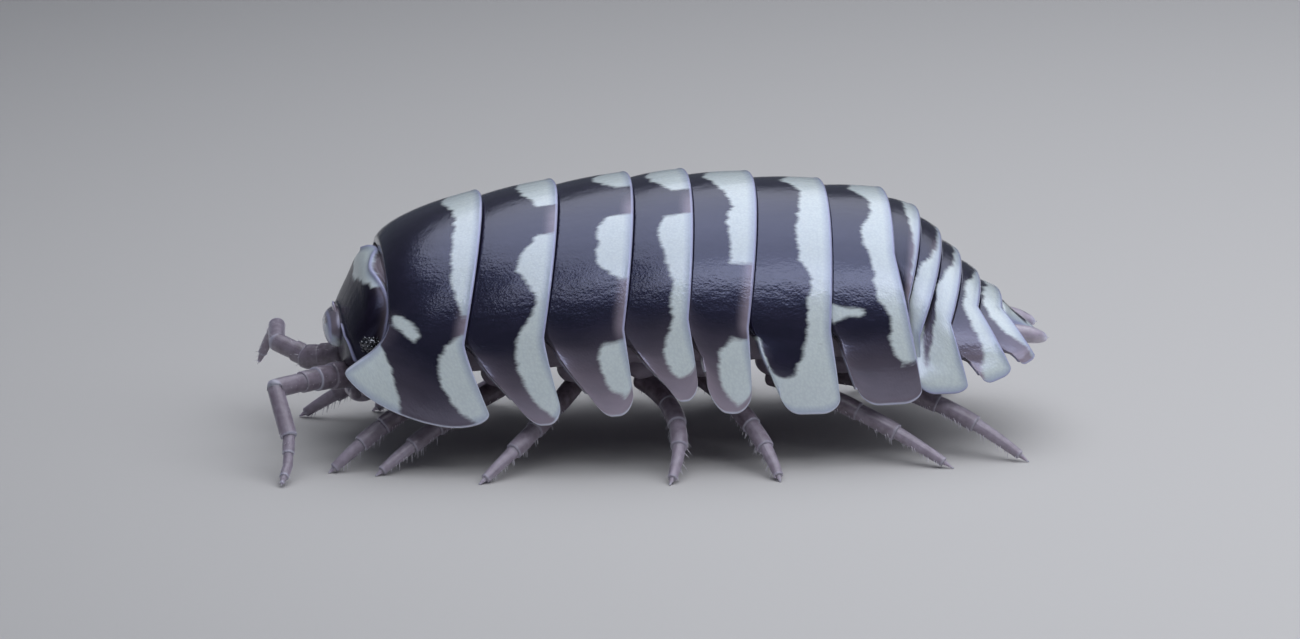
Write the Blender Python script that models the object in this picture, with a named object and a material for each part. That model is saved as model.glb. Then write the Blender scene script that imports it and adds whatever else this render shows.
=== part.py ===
"""A pill woodlouse of the zebra kind, life size, standing with its head towards -X.

The body is a row of rings. Each ring is one closed solid: an arched shield whose
sides run down into free plates, and the belly under it. The rear rim of a ring
overhangs the sunk collar of the ring behind it, as the real shields overlap.
Lengths are in millimetres here and become metres when a mesh is made.
"""

import math
from collections import namedtuple

import bmesh
import bpy
from mathutils import Matrix, Vector

MM = 0.001

# Gaps and overlaps between neighbouring pieces
ROOT_GAP = 0.30
CORE_GAP = 0.30
TAIL_CORE_GAP = 0.20
LAP = 0.35
TAIL_LAP = 0.22
RIM_THICKNESS = 0.12
LIP_THICKNESS = 0.28
COLLAR_DEPTH = 0.24
TAIL_COLLAR_DEPTH = 0.31
COLLAR_FRONT_DEPTH = 0.42
FREE_EDGE_GAP = 0.16
EYE_GAP = 0.12
DEEPEST_SHARE = 0.50

# The arch of a shield
ARCH_POWER = 2.0 / 2.15
ARCH_STEPS = 26
TAIL_ARCH_STEPS = 22
PLATE_THICKNESS = 0.45
PLATE_EDGE = 0.24
BELLY_HALF_WIDTH = 2.45
BELLY_SHARE = 0.66
GROOVE_SHARE = 0.78
GROOVE_RISE = 0.45
TAIL_GROOVE_RISE = 0.02
REAR_CORNER_ROUNDING = 0.022
FRONT_CORNER_ROUNDING = 0.045
TAIL_CORNER_ROUNDING = 0.065

# One row for each rear rim, from the front edge of the first shield to the tail.
# waist_shift moves the rim forwards on the flank, and tip_sweep moves its corner.
# lap_end is how far down the flank the rim overhangs the next ring.
Rim = namedtuple(
    "Rim",
    "name top_x top_z half_width tip_z belly_z waist_shift waist_at tip_sweep sweep_power lap_end",
)
FRONT_EDGE = Rim("front_edge", -6.85, 5.22, 3.00, 2.42, 2.35, -0.12, 0.60, -1.20, 2.6, 0.0)
RIMS = [
    Rim("pereonite_1", -4.35, 6.52, 3.75, 1.19, 2.35, -0.78, 0.75, 0.75, 1.3, 0.74),
    Rim("pereonite_2", -2.43, 6.75, 3.95, 1.33, 2.40, -0.70, 0.75, 0.50, 1.4, 0.74),
    Rim("pereonite_3", -0.52, 6.88, 4.05, 1.54, 2.45, -0.59, 0.75, 0.25, 1.1, 0.74),
    Rim("pereonite_4", 0.96, 6.92, 4.10, 1.90, 2.45, -0.44, 0.75, 0.25, 1.1, 0.74),
    Rim("pereonite_5", 2.63, 6.82, 4.10, 1.49, 2.45, -0.58, 0.75, 0.05, 1.1, 0.74),
    Rim("pereonite_6", 4.46, 6.58, 4.00, 1.42, 2.45, -0.30, 0.75, 0.24, 1.1, 0.74),
    Rim("pereonite_7", 6.07, 6.30, 3.85, 1.59, 2.50, -0.12, 0.45, 0.57, 1.2, 0.80),
    Rim("pleonite_1", 6.92, 5.82, 3.05, 2.80, 2.66, -0.64, 0.75, 0.00, 1.0, 2.00),
    Rim("pleonite_2", 7.49, 5.22, 3.10, 2.40, 2.68, -0.95, 0.85, 0.00, 1.0, 0.84),
    Rim("pleonite_3", 8.00, 4.66, 3.45, 1.72, 2.68, -0.64, 0.62, 0.40, 1.1, 0.82),
    Rim("pleonite_4", 8.50, 4.10, 3.00, 2.10, 2.64, -0.30, 0.45, 0.75, 1.1, 0.82),
    Rim("pleonite_5", 9.07, 3.61, 2.45, 2.36, 2.60, -0.14, 0.35, 0.70, 1.1, 0.40),
]
WAIST_POWER = 1.6
BELLY_WAIST_SHARE = 0.3
FIRST_TAIL_RING = 7
SHORT_RINGS = ("pleonite_1", "pleonite_2")

# How far the lower front corner of each plate lies behind the corner before it
CORNER_LAG = [0.0, 0.50, 0.55, 0.80, 0.22, 0.50, 0.24, 0.0, 0.0, 0.10, 0.15, 0.05]
LAG_POWER = 2.1
# The third tail ring's plate is broader than the rim before it: its corner's shift
BROAD_PLATE_RING = 9
BROAD_PLATE_SHIFT = Vector((-0.40, 0.24, -0.62))
# How soon each shield reaches its full height and width behind its front edge
RISE_POWER = [0.55, 0.75, 0.8, 0.8, 0.8, 0.8, 0.8, 0.8, 0.8, 0.7, 0.8, 0.8]
TIP_RISE_POWER = 0.12
FIRST_TIP_CURVE = 2.3
# The part of the rim before it that a short ring's collar follows
SHORT_COLLAR_REACH = 0.70
NECK_X = -6.15
SHIELD_CROWN = 0.05
FIRST_CROWN = 0.03
SHIELD_STATIONS = (0.16, 0.50, 0.86)
FIRST_STATIONS = (0.10, 0.32, 0.60, 0.86)

# Head: x, half width, lowest and highest z of each cross-section, back to front
HEAD_SECTIONS = [
    (-6.45, 1.90, 2.50, 4.36),
    (-6.74, 2.08, 2.28, 4.58),
    (-7.02, 2.29, 2.08, 4.92),
    (-7.22, 2.42, 1.98, 4.98),
    (-7.44, 2.45, 1.96, 4.80),
    (-7.62, 2.38, 2.00, 4.38),
    (-7.82, 2.18, 2.12, 3.96),
    (-7.96, 1.84, 2.30, 3.68),
    (-8.02, 1.50, 2.46, 3.62),
]
HEAD_SIDES = 28
HEAD_ROUNDNESS = 2.0 / 2.3
# The small shield on the brow, front to back sizes as for the head
SCUTELLUM_SECTIONS = [
    (-8.06, 0.98, 2.70, 3.60),
    (-8.22, 0.96, 2.70, 3.57),
    (-8.31, 0.82, 2.78, 3.48),
    (-8.35, 0.50, 2.92, 3.34),
]

EYE_CENTRE = (-7.44, 2.35, 3.16)
EYE_RADII = (0.28, 0.19, 0.205)

# Legs: foot and knee of each left leg, and the right foot's offset in its step
Leg = namedtuple("Leg", "foot_x foot_y knee_x knee_y knee_z right_dx right_dy")
LEGS = [
    Leg(-8.55, 3.00, -7.05, 2.45, 1.25, -0.23, 0.15),
    Leg(-7.40, 3.45, -5.70, 2.65, 1.22, 0.55, 0.10),
    Leg(-4.90, 4.65, -3.10, 3.20, 1.18, 0.45, -0.10),
    Leg(-0.15, 5.30, 0.70, 3.55, 1.30, -0.75, -0.15),
    Leg(2.66, 5.30, 2.35, 3.60, 1.25, 0.60, -0.10),
    Leg(7.20, 4.45, 4.75, 3.10, 1.58, -0.55, 0.10),
    Leg(9.20, 4.00, 7.00, 2.80, 1.75, -0.45, 0.05),
]
LEG_ROOT_Y = 1.95
LEG_SIDES = 8
# Share of the way from root to foot, and radius there, of each joint and middle
LEG_STATIONS = [
    (0.00, 0.26),
    (0.14, 0.27),
    (0.30, 0.225),
    (0.40, 0.24),
    (0.52, 0.21),
    (0.62, 0.225),
    (0.73, 0.19),
    (0.84, 0.195),
    (0.93, 0.15),
    (1.00, 0.10),
]
FLOOR_CLEARANCE = 0.03

# Antennae: joints from the root to the tip, for the left and the right one
ANTENNA_LEFT = [
    (-8.22, -1.16, 1.90),
    (-8.66, -1.52, 2.15),
    (-9.83, -2.35, 2.10),
    (-9.56, -3.22, 1.04),
    (-9.64, -3.75, 0.42),
    (-9.84, -4.32, 0.11),
]
ANTENNA_RIGHT = [
    (-8.18, 1.12, 1.86),
    (-8.68, 1.54, 1.96),
    (-9.42, 2.30, 2.22),
    (-9.32, 3.42, 2.40),
    (-9.50, 3.86, 1.96),
    (-9.74, 4.20, 1.26),
]
ANTENNA_RADII = [0.31, 0.30, 0.26, 0.25, 0.18, 0.05]
ANTENNA_SIDES = 8

# Telson, tail fans and the flaps under the tail
TELSON_FRONT_X = 9.00
TELSON_TIP = (9.98, 2.60)
TELSON_HALF_WIDTHS = (0.88, 0.84, 0.66, 0.46, 0.36, 0.30)
TELSON_THICKNESS = 0.46
UROPOD_ROOT = (9.22, 1.16, 2.52)
UROPOD_TIP = (10.14, 0.86, 2.36)
UROPOD_RADII = [(0.0, 0.20, 0.22), (0.3, 0.26, 0.25), (0.65, 0.22, 0.25), (1.0, 0.06, 0.06)]
FLAP_COUNT = 5
FLAP_FRONT_X = 6.30
FLAP_REAR_X = 8.80
FLAP_TOP_Z = 2.30
FLAP_DEPTH = 0.22
FLAP_STEP = 0.14
FLAP_INNER_Y = 0.15
FLAP_OUTER_Y = (1.75, 1.25)

MOUTH_SECTIONS = [
    (-7.06, 0.62, 1.42, 1.72),
    (-7.30, 0.80, 1.22, 1.70),
    (-7.62, 0.78, 1.18, 1.72),
    (-7.88, 0.52, 1.34, 1.78),
]

COLOURS = {
    "shield": ((0.020, 0.015, 0.028, 1.0), 0.28),
    "lobe": ((0.050, 0.045, 0.070, 1.0), 0.30),
    "leg": ((0.36, 0.32, 0.40, 1.0), 0.42),
    "eye": ((0.004, 0.004, 0.006, 1.0), 0.12),
    "tail": ((0.42, 0.45, 0.50, 1.0), 0.35),
    "flap": ((0.55, 0.56, 0.58, 1.0), 0.45),
}


def lerp(a, b, share):
    return a + (b - a) * share


def smooth(share):
    share = min(max(share, 0.0), 1.0)
    return share * share * (3.0 - 2.0 * share)


def clear_scene():
    for thing in list(bpy.data.objects):
        bpy.data.objects.remove(thing, do_unlink=True)


def chitin(kind):
    """The horny cover of the animal, in the colour of one kind of piece."""
    material = bpy.data.materials.get(kind) or bpy.data.materials.new(kind)
    material.use_nodes = True
    shader = material.node_tree.nodes["Principled BSDF"]
    colour, roughness = COLOURS[kind]
    shader.inputs["Base Color"].default_value = colour
    shader.inputs["Roughness"].default_value = roughness
    shader.inputs["Metallic"].default_value = 0.0
    material.diffuse_color = colour
    return material


def add_object(name, points, faces, kind):
    """Make one closed, smooth-shaded object from points in millimetres."""
    mesh = bpy.data.meshes.new(name)
    mesh.from_pydata([tuple(c * MM for c in point) for point in points], [], faces)
    work = bmesh.new()
    work.from_mesh(mesh)
    bmesh.ops.recalc_face_normals(work, faces=work.faces)
    bmesh.ops.triangulate(work, faces=work.faces)
    work.to_mesh(mesh)
    work.free()
    mesh.shade_smooth()
    mesh.set_sharp_from_angle(angle=math.radians(40.0))
    mesh.materials.append(chitin(kind))
    thing = bpy.data.objects.new(name, mesh)
    bpy.context.collection.objects.link(thing)
    return thing


def loft(name, loops, kind):
    """Join loops of equal count with quads and close both ends."""
    count = len(loops[0])
    points = [point for loop in loops for point in loop]
    faces = []
    for row in range(len(loops) - 1):
        for i in range(count):
            j = (i + 1) % count
            a = row * count
            faces.append((a + i, a + j, a + count + j, a + count + i))
    faces.append(tuple(range(count))[::-1])
    last = (len(loops) - 1) * count
    faces.append(tuple(last + i for i in range(count)))
    return add_object(name, points, faces, kind)


def tube(name, centres, radii, sides, kind, level_ends=False):
    """A tapered limb through centres, and with level_ends both its ends lie level."""
    centres = [Vector(centre) for centre in centres]
    count = len(centres)
    normal = Vector((0.0, 0.0, 1.0))
    loops = []
    for i, centre in enumerate(centres):
        before = (centre - centres[i - 1]).normalized() if i else Vector()
        after = (centres[i + 1] - centre).normalized() if i < count - 1 else Vector()
        along = (before + after).normalized()
        if level_ends and i in (0, count - 1):
            along = Vector((0.0, 0.0, -1.0))
            normal = Vector((1.0, 0.0, 0.0)) if i == 0 else normal
        side = (normal - along * normal.dot(along)).normalized()
        normal = side
        other = along.cross(side)
        loop = []
        for k in range(sides):
            turn = 2.0 * math.pi * k / sides
            loop.append(centre + (side * math.cos(turn) + other * math.sin(turn)) * radii[i])
        loops.append(loop)
    return loft(name, loops, kind)


def rim_x(rim, share):
    """The rim's x at a share of the way from the back's middle to the plate's tip."""
    x = rim.top_x + rim.waist_shift * min(share / rim.waist_at, 1.0) ** WAIST_POWER
    if share > rim.waist_at:
        x += rim.tip_sweep * ((share - rim.waist_at) / (1.0 - rim.waist_at)) ** rim.sweep_power
    return x


def arch_point(half_width, top_z, tip_z, share, side):
    turn = share * math.pi / 2.0
    y = half_width * math.sin(turn) ** ARCH_POWER
    z = tip_z + (top_z - tip_z) * max(math.cos(turn), 0.0) ** ARCH_POWER
    return side * y, z


def under_point(rim, share, side):
    """A point on the underside: flat belly, groove, then inside of the plate."""
    belly_end, groove = BELLY_SHARE, GROOVE_SHARE
    half_width, top_z, tip_z, belly_z = rim.half_width, rim.top_z, rim.tip_z, rim.belly_z
    belly_y = min(BELLY_HALF_WIDTH, half_width - 1.15)
    groove_y = half_width - 0.95
    rise = TAIL_GROOVE_RISE if rim in RIMS[FIRST_TAIL_RING:] else GROOVE_RISE
    groove_z = max(belly_z + rise, tip_z + 0.35)
    if share <= belly_end:
        return side * belly_y * share / belly_end, belly_z
    if share <= groove:
        t = (share - belly_end) / (groove - belly_end)
        return side * lerp(belly_y, groove_y, t), lerp(belly_z, groove_z, smooth(t))
    t = (share - groove) / (1.0 - groove)
    outer_y, outer_z = arch_point(half_width, top_z, tip_z, share, 1.0)
    thickness = lerp(PLATE_THICKNESS, PLATE_EDGE, t)
    y = lerp(groove_y, outer_y - thickness, min(1.0, 3.0 * t))
    z = lerp(groove_z, outer_z + 0.04, t)
    return side * y, z


class Section:
    """One rim's arch and underside, with depth measured along the rung between."""

    def __init__(self, rim, trim=0.0, reach=1.0):
        self.rim = rim
        self.trim = trim
        self.reach = reach

    def shares(self, v):
        share = abs(v) * self.reach
        return share * (1.0 - self.trim * smooth((share - 0.7) / 0.3)), (1.0 if v >= 0 else -1.0)

    def outer(self, v):
        share, side = self.shares(v)
        rim = self.rim
        y, z = arch_point(rim.half_width, rim.top_z, rim.tip_z, share, side)
        return Vector((rim_x(rim, share), y, z))

    def under(self, v):
        share, side = self.shares(v)
        rim = self.rim
        y, z = under_point(rim, share, side)
        belly_x = rim.top_x + BELLY_WAIST_SHARE * rim.waist_shift
        outwards = smooth((share - BELLY_SHARE) / (GROOVE_SHARE - BELLY_SHARE))
        return Vector((lerp(belly_x, rim_x(rim, share), outwards), y, z))

    def at(self, v, dx, depth):
        """The outer point moved along x and sunk part of the way to the underside."""
        outer = self.outer(v)
        inward = (self.under(v) - outer)
        inward.x = 0.0
        sunk = min(depth, DEEPEST_SHARE * inward.length)
        return outer + inward.normalized() * sunk + Vector((dx, 0.0, 0.0))


def lap_share(rim, share):
    """1 where the rim overhangs its neighbour, falling to 0 on the free plate."""
    return 1.0 - smooth((share - rim.lap_end) / 0.09)


def ring_lengths(index):
    tail = index >= FIRST_TAIL_RING
    return (TAIL_LAP, TAIL_CORE_GAP) if tail else (LAP, CORE_GAP)


def front_of_ring(index, section, v):
    """Collar points and the front of the underside of every ring but the first."""
    rim = section.rim
    share, _ = section.shares(v)
    lapped = 1.0 - smooth((share - rim.lap_end + 0.02) / 0.07)
    sunk = 1.0 - smooth((share - rim.lap_end - 0.05) / 0.08)
    if rim.lap_end > 1.0 or RIMS[index].name in SHORT_RINGS:
        lapped, sunk = 1.0, 1.0
    lap, _ = ring_lengths(index - 1)
    if RIMS[index - 1].name in SHORT_RINGS:
        lap *= lerp(1.0, -0.30, smooth((abs(v) - 0.45) / 0.3))
    sunk_depth = COLLAR_DEPTH if index < FIRST_TAIL_RING else TAIL_COLLAR_DEPTH
    free = max(0.0, share - rim.lap_end) / (1.0 - min(rim.lap_end, 0.9))
    lag = FREE_EDGE_GAP + CORNER_LAG[index] * free ** LAG_POWER
    front_dx = lerp(lag, -lap, lapped)
    rear_dx = lerp(lag + 0.14, 0.04, lapped)
    collar = section.at(v, front_dx, lerp(0.16, COLLAR_FRONT_DEPTH, sunk))
    groove = section.at(v, rear_dx, lerp(0.03, sunk_depth, sunk))
    under = section.under(v) + Vector((lerp(lag + 0.10, -lap, lapped), 0.0, 0.0))
    if index == BROAD_PLATE_RING:
        shift = BROAD_PLATE_SHIFT * smooth((abs(v) - 0.82) / 0.12)
        shift.x = BROAD_PLATE_SHIFT.x * smooth((abs(v) - 0.95) / 0.05)
        shift.y = math.copysign(shift.y, v)
        collar, groove, under = collar + shift, groove + shift, under + shift
    return collar, groove, under


def rear_of_ring(index, section, v):
    """The rim, its thin edge, the root of the overhang and the rear underside."""
    rim = section.rim
    share, _ = section.shares(v)
    lap, gap = ring_lengths(index)
    lapped = lap_share(rim, share)
    back = lerp(0.22, lap + gap, lapped)
    edge = section.at(v, 0.0, 0.0)
    lip = section.at(v, -0.02, RIM_THICKNESS)
    root = section.at(v, -back, lerp(LIP_THICKNESS * 0.8, LIP_THICKNESS, lapped))
    under = section.under(v) + Vector((-lerp(0.12, lap + gap, lapped), 0.0, 0.0))
    return edge, lip, root, under


def keep_order(v, edge, collar, fronts, rears):
    """At a short ring's tips, keep its front points ahead of its rear points."""
    tip = smooth((abs(v) - 0.66) / 0.20)
    width = edge.x - collar.x
    for point in fronts:
        point.x = lerp(point.x, min(point.x, edge.x - 0.66 * width), tip)
    for point in rears:
        point.x = lerp(point.x, max(point.x, edge.x - 0.30 * width), tip)


def rise(index, v, share):
    """How much of the rim's height and width the shield has reached at this share."""
    tip_rise = share ** TIP_RISE_POWER if index else 1.0 - (1.0 - share) ** FIRST_TIP_CURVE
    return lerp(share ** RISE_POWER[index], tip_rise, smooth((abs(v) - 0.8) / 0.2))


def blended(front, rear, share, risen, crown):
    """A point of the shield between its front and its rim, swelling a little."""
    point = Vector((
        lerp(front.x, rear.x, share),
        lerp(front.y, rear.y, risen),
        lerp(front.z, rear.z, risen),
    ))
    outward = Vector((0.0, point.y, point.z - 2.5)).normalized()
    return point + outward * crown * math.sin(math.pi * share)


def body_ring(index):
    """One ring of the body, swept from its left plate tip over the back."""
    rim = RIMS[index]
    rear = Section(rim, trim=REAR_CORNER_ROUNDING)
    full_rear = Section(rim)
    before = RIMS[index - 1] if index else FRONT_EDGE
    reach = SHORT_COLLAR_REACH if index == FIRST_TAIL_RING else 1.0
    rounding = FRONT_CORNER_ROUNDING if index < FIRST_TAIL_RING else TAIL_CORNER_ROUNDING
    front = Section(before, trim=rounding, reach=reach)
    full_front = Section(before, reach=reach)
    steps = ARCH_STEPS if index < FIRST_TAIL_RING else TAIL_ARCH_STEPS
    outer_rows = []
    inner_rows = []
    for step in range(steps + 1):
        v = 2.0 * step / steps - 1.0
        edge, lip, root, under_rear = rear_of_ring(index, rear, v)
        full_edge, _, _, full_under = rear_of_ring(index, full_rear, v)
        if index:
            collar, groove, under_front = front_of_ring(index, front, v)
            _, full_groove, full_under_front = front_of_ring(index, full_front, v)
            if rim.name in SHORT_RINGS:
                fronts = (groove, full_groove, under_front, full_under_front)
                keep_order(v, edge, collar, fronts, (root, under_rear, full_under))
            middle = [
                blended(full_groove, full_edge, u, rise(index, v, u), SHIELD_CROWN)
                for u in SHIELD_STATIONS
            ]
            outer_rows.append([collar, groove] + middle + [edge])
            half = blended(full_under_front, full_under, 0.5, rise(index, v, 0.5), 0.0)
            front_face = lerp_point(under_front, collar, 0.5)
            inner_rows.append([lip, root, under_rear, half, under_front, front_face])
        else:
            share, _ = front.shares(v)
            core = 1.0 - smooth((share - 0.62) / 0.12)
            first = front.at(v, 0.0, 0.0)
            full_first = full_front.at(v, 0.0, 0.0)
            inside = front.at(v, 0.05, 0.26)
            middle = [
                blended(full_first, full_edge, u, rise(index, v, u), FIRST_CROWN)
                for u in FIRST_STATIONS
            ]
            outer_rows.append([first] + middle + [edge])
            share_x = (NECK_X - inside.x) / (under_rear.x - inside.x)
            deep_outer = blended(first, edge, share_x, rise(index, v, share_x), FIRST_CROWN)
            toward = (under_rear - deep_outer)
            toward.x = 0.0
            ceiling = deep_outer + toward.normalized() * 0.52
            ceiling.x = NECK_X
            plate_inner = lerp_point(inside, under_rear, 0.45)
            ceiling = lerp_point(plate_inner, ceiling, core)
            floor_point = Vector((NECK_X, under_rear.y, under_rear.z))
            floor_point = lerp_point(lerp_point(inside, under_rear, 0.7), floor_point, core)
            inner_rows.append([lip, root, under_rear, floor_point, ceiling, inside])
    return sweep(rim.name, outer_rows, inner_rows, "shield")


def lerp_point(a, b, share):
    return a + (b - a) * share


def sweep(name, outer_rows, inner_rows, kind):
    """Close a band between outer and inner chains, with laddered end caps."""
    size = len(outer_rows[0])
    around = 2 * size
    points = []
    for outer, inner in zip(outer_rows, inner_rows):
        points.extend(outer)
        points.extend(inner)
    faces = []
    for row in range(len(outer_rows) - 1):
        for i in range(around):
            j = (i + 1) % around
            a = row * around
            faces.append((a + i, a + j, a + around + j, a + around + i))
    for row in (0, len(outer_rows) - 1):
        a = row * around
        for i in range(size - 1):
            opposite = around - 1 - i
            faces.append((a + i, a + i + 1, a + opposite - 1, a + opposite))
    return add_object(name, points, faces, kind)


def oval_loop(x, half_width, low, high, sides, roundness):
    """A closed cross-section in the plane of x, flatter than an ellipse."""
    centre = (low + high) / 2.0
    half = (high - low) / 2.0
    loop = []
    for k in range(sides):
        turn = 2.0 * math.pi * k / sides
        s, c = math.sin(turn), math.cos(turn)
        y = math.copysign(abs(s) ** roundness, s) * half_width
        z = math.copysign(abs(c) ** roundness, c) * half
        loop.append(Vector((x, y, centre + z)))
    return loop


def head():
    sections = HEAD_SECTIONS + SCUTELLUM_SECTIONS
    loops = [oval_loop(*section, HEAD_SIDES, HEAD_ROUNDNESS) for section in sections]
    skull = loft("head", loops, "shield")
    for side in (-1.0, 1.0):
        cut_eye_socket(skull, side)
    return skull


def ball(name, centre, radii, kind, rings=8, around=14):
    """An oval ball, laid out as rings between two poles."""
    work = bmesh.new()
    bmesh.ops.create_uvsphere(work, u_segments=around, v_segments=rings, radius=1.0)
    scale = Matrix.Diagonal(Vector((radii[0], radii[1], radii[2], 1.0)) * MM)
    scale[3][3] = 1.0
    place = Matrix.Translation(Vector(centre) * MM)
    bmesh.ops.transform(work, matrix=place @ scale, verts=work.verts)
    mesh = bpy.data.meshes.new(name)
    work.to_mesh(mesh)
    work.free()
    mesh.shade_smooth()
    mesh.materials.append(chitin(kind))
    thing = bpy.data.objects.new(name, mesh)
    bpy.context.collection.objects.link(thing)
    return thing


def eye_centre(side):
    x, y, z = EYE_CENTRE
    return x, side * y, z


def cut_eye_socket(skull, side):
    radii = [radius + EYE_GAP for radius in EYE_RADII]
    cutter = ball("socket_cutter", eye_centre(side), radii, "eye")
    cut = skull.modifiers.new("socket", "BOOLEAN")
    cut.operation = "DIFFERENCE"
    cut.object = cutter
    cut.solver = "EXACT"
    graph = bpy.context.evaluated_depsgraph_get()
    finished = bpy.data.meshes.new_from_object(skull.evaluated_get(graph))
    skull.modifiers.clear()
    skull.data = finished
    bpy.data.objects.remove(cutter, do_unlink=True)


def eyes():
    for side, word in ((-1.0, "left"), (1.0, "right")):
        ball("eye_" + word, eye_centre(side), EYE_RADII, "eye")


def mouthparts():
    loops = [oval_loop(*section, 12, HEAD_ROUNDNESS) for section in MOUTH_SECTIONS]
    return loft("mouthparts", loops, "lobe")


def antenna(name, joints):
    """Five stout joints and a two-piece whip, a little waisted at each joint."""
    centres = []
    radii = []
    for i in range(len(joints) - 1):
        a, b = Vector(joints[i]), Vector(joints[i + 1])
        thick_a, thick_b = ANTENNA_RADII[i], ANTENNA_RADII[i + 1]
        pinch = 1.0 if i == 0 else 0.88
        centres.append(a)
        radii.append(thick_a * pinch)
        for share in (0.35, 0.75):
            centres.append(a.lerp(b, share))
            radii.append(lerp(thick_a, thick_b, share))
    centres.append(Vector(joints[-1]))
    radii.append(ANTENNA_RADII[-1])
    return tube(name, centres, radii, ANTENNA_SIDES, "leg")


def leg_root(index, side):
    """The middle of the ring's belly on one side, a gap below it."""
    rear = Section(RIMS[index])
    v = side * BELLY_SHARE * LEG_ROOT_Y / BELLY_HALF_WIDTH
    _, _, _, under_rear = rear_of_ring(index, rear, v)
    if index:
        front = Section(RIMS[index - 1])
        _, _, under_front = front_of_ring(index, front, v)
        x = (under_rear.x + under_front.x) / 2.0
        z = min(under_rear.z, under_front.z)
    else:
        x = (under_rear.x + NECK_X) / 2.0
        z = under_rear.z
    return Vector((x, side * LEG_ROOT_Y, z - ROOT_GAP))


def leg(index, side):
    """A walking leg: down and out from the belly to a bent knee, then the foot."""
    plan = LEGS[index]
    word = "left" if side < 0 else "right"
    root = leg_root(index, side)
    dx, dy = (plan.right_dx, plan.right_dy) if side > 0 else (0.0, 0.0)
    foot = Vector((plan.foot_x + dx, side * (plan.foot_y + dy), 0.0))
    knee = Vector((plan.knee_x + dx / 2.0, side * (plan.knee_y + dy / 2.0), plan.knee_z))
    start = root + Vector((0.0, 0.0, -0.20))
    centres = []
    radii = []
    for share, radius in LEG_STATIONS:
        # A quadratic curve bends the leg smoothly about its knee
        a = start.lerp(knee, share)
        b = knee.lerp(foot, share)
        centres.append(a.lerp(b, share))
        radii.append(radius)
    centres[0] = root
    for centre, radius in zip(centres[1:-1], radii[1:-1]):
        centre.z = max(centre.z, radius + FLOOR_CLEARANCE)
    centres[-1] = foot
    name = "leg_{}_{}".format(word, index + 1)
    return tube(name, centres, radii, LEG_SIDES, "leg", level_ends=True)


def telson():
    """The short end shield, tucked under the last rim, with a blunt tip."""
    top_z = RIMS[-1].top_z - COLLAR_DEPTH
    tip_x, tip_z = TELSON_TIP
    bend_x = RIMS[-1].top_x + 0.05
    loops = []
    count = len(TELSON_HALF_WIDTHS)
    for i, half_width in enumerate(TELSON_HALF_WIDTHS):
        if i == 0:
            x, z, thickness = TELSON_FRONT_X, top_z - 0.06, TELSON_THICKNESS
        else:
            share = (i - 1) / (count - 2)
            x = lerp(bend_x, tip_x, share)
            z = lerp(top_z, tip_z, share ** 1.1)
            thickness = lerp(TELSON_THICKNESS, 0.26, share)
        loops.append(shell_loop(x, z, half_width, thickness, 0.20))
    return loft("telson", loops, "tail")


def shell_loop(x, top_z, half_width, thickness, drop):
    """A bent slab in the plane of x: crowned above and below."""
    steps = 6
    upper = []
    lower = []
    for k in range(steps + 1):
        y = lerp(-half_width, half_width, k / steps)
        sag = drop * (y / max(half_width, 0.01)) ** 2 * min(1.0, half_width)
        thin = lerp(1.0, 0.6, (y / half_width) ** 2)
        upper.append(Vector((x, y, top_z - sag)))
        lower.append(Vector((x, y, top_z - sag - thickness * thin)))
    return upper + lower[::-1]


def uropod(side):
    """A flat, pointed tail blade between the end shield and the last plate."""
    word = "left" if side < 0 else "right"
    root = Vector(UROPOD_ROOT)
    tip = Vector(UROPOD_TIP)
    loops = []
    for share, half_y, half_z in UROPOD_RADII:
        centre = root.lerp(tip, share)
        loop = []
        for k in range(8):
            turn = 2.0 * math.pi * k / 8
            y = side * (centre.y + half_y * math.cos(turn))
            loop.append(Vector((centre.x, y, centre.z + half_z * math.sin(turn))))
        loops.append(loop)
    return loft("uropod_" + word, loops, "tail")


def pleopods(side):
    """The breathing flaps under the tail, each lapping over the next."""
    word = "left" if side < 0 else "right"
    length = (FLAP_REAR_X - FLAP_FRONT_X) / FLAP_COUNT
    loops = []
    for flap in range(FLAP_COUNT):
        for share, deep in ((0.06, 0.0), (0.94, 1.0)):
            x = FLAP_FRONT_X + length * (flap + share)
            along = (x - FLAP_FRONT_X) / (FLAP_REAR_X - FLAP_FRONT_X)
            outer = lerp(FLAP_OUTER_Y[0], FLAP_OUTER_Y[1], along)
            low = FLAP_TOP_Z - FLAP_DEPTH - FLAP_STEP * deep
            loops.append([
                Vector((x, side * FLAP_INNER_Y, FLAP_TOP_Z)),
                Vector((x, side * (outer - 0.25), FLAP_TOP_Z)),
                Vector((x, side * outer, FLAP_TOP_Z - 0.18)),
                Vector((x, side * (outer - 0.12), low + 0.10)),
                Vector((x, side * (outer - 0.55), low)),
                Vector((x, side * FLAP_INNER_Y, low + 0.06)),
            ])
    return loft("pleopods_" + word, loops, "flap")


def build():
    clear_scene()
    for index in range(len(RIMS)):
        body_ring(index)
    head()
    eyes()
    mouthparts()
    antenna("antenna_left", ANTENNA_LEFT)
    antenna("antenna_right", ANTENNA_RIGHT)
    telson()
    for side in (-1.0, 1.0):
        uropod(side)
        pleopods(side)
        for index in range(len(LEGS)):
            leg(index, side)


build()
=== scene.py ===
# %% [markdown]
# # A zebra pill woodlouse, life size
#
# This lesson dresses the solids of a small land crustacean, 18 mm long, as a museum
# model. Its back is a row of horny shields, each a separate plate that overlaps the
# next, with pale bands on black. Below them are a soft belly, fourteen legs, two
# feelers and a tail of small blades.
#
# The solids give every place and size. This file adds what a solid can't show: thin
# rims, markings, joints, bristles, facets of the eye and the feel of each surface.

# %% Load the solids
import math
from collections import namedtuple

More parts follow.
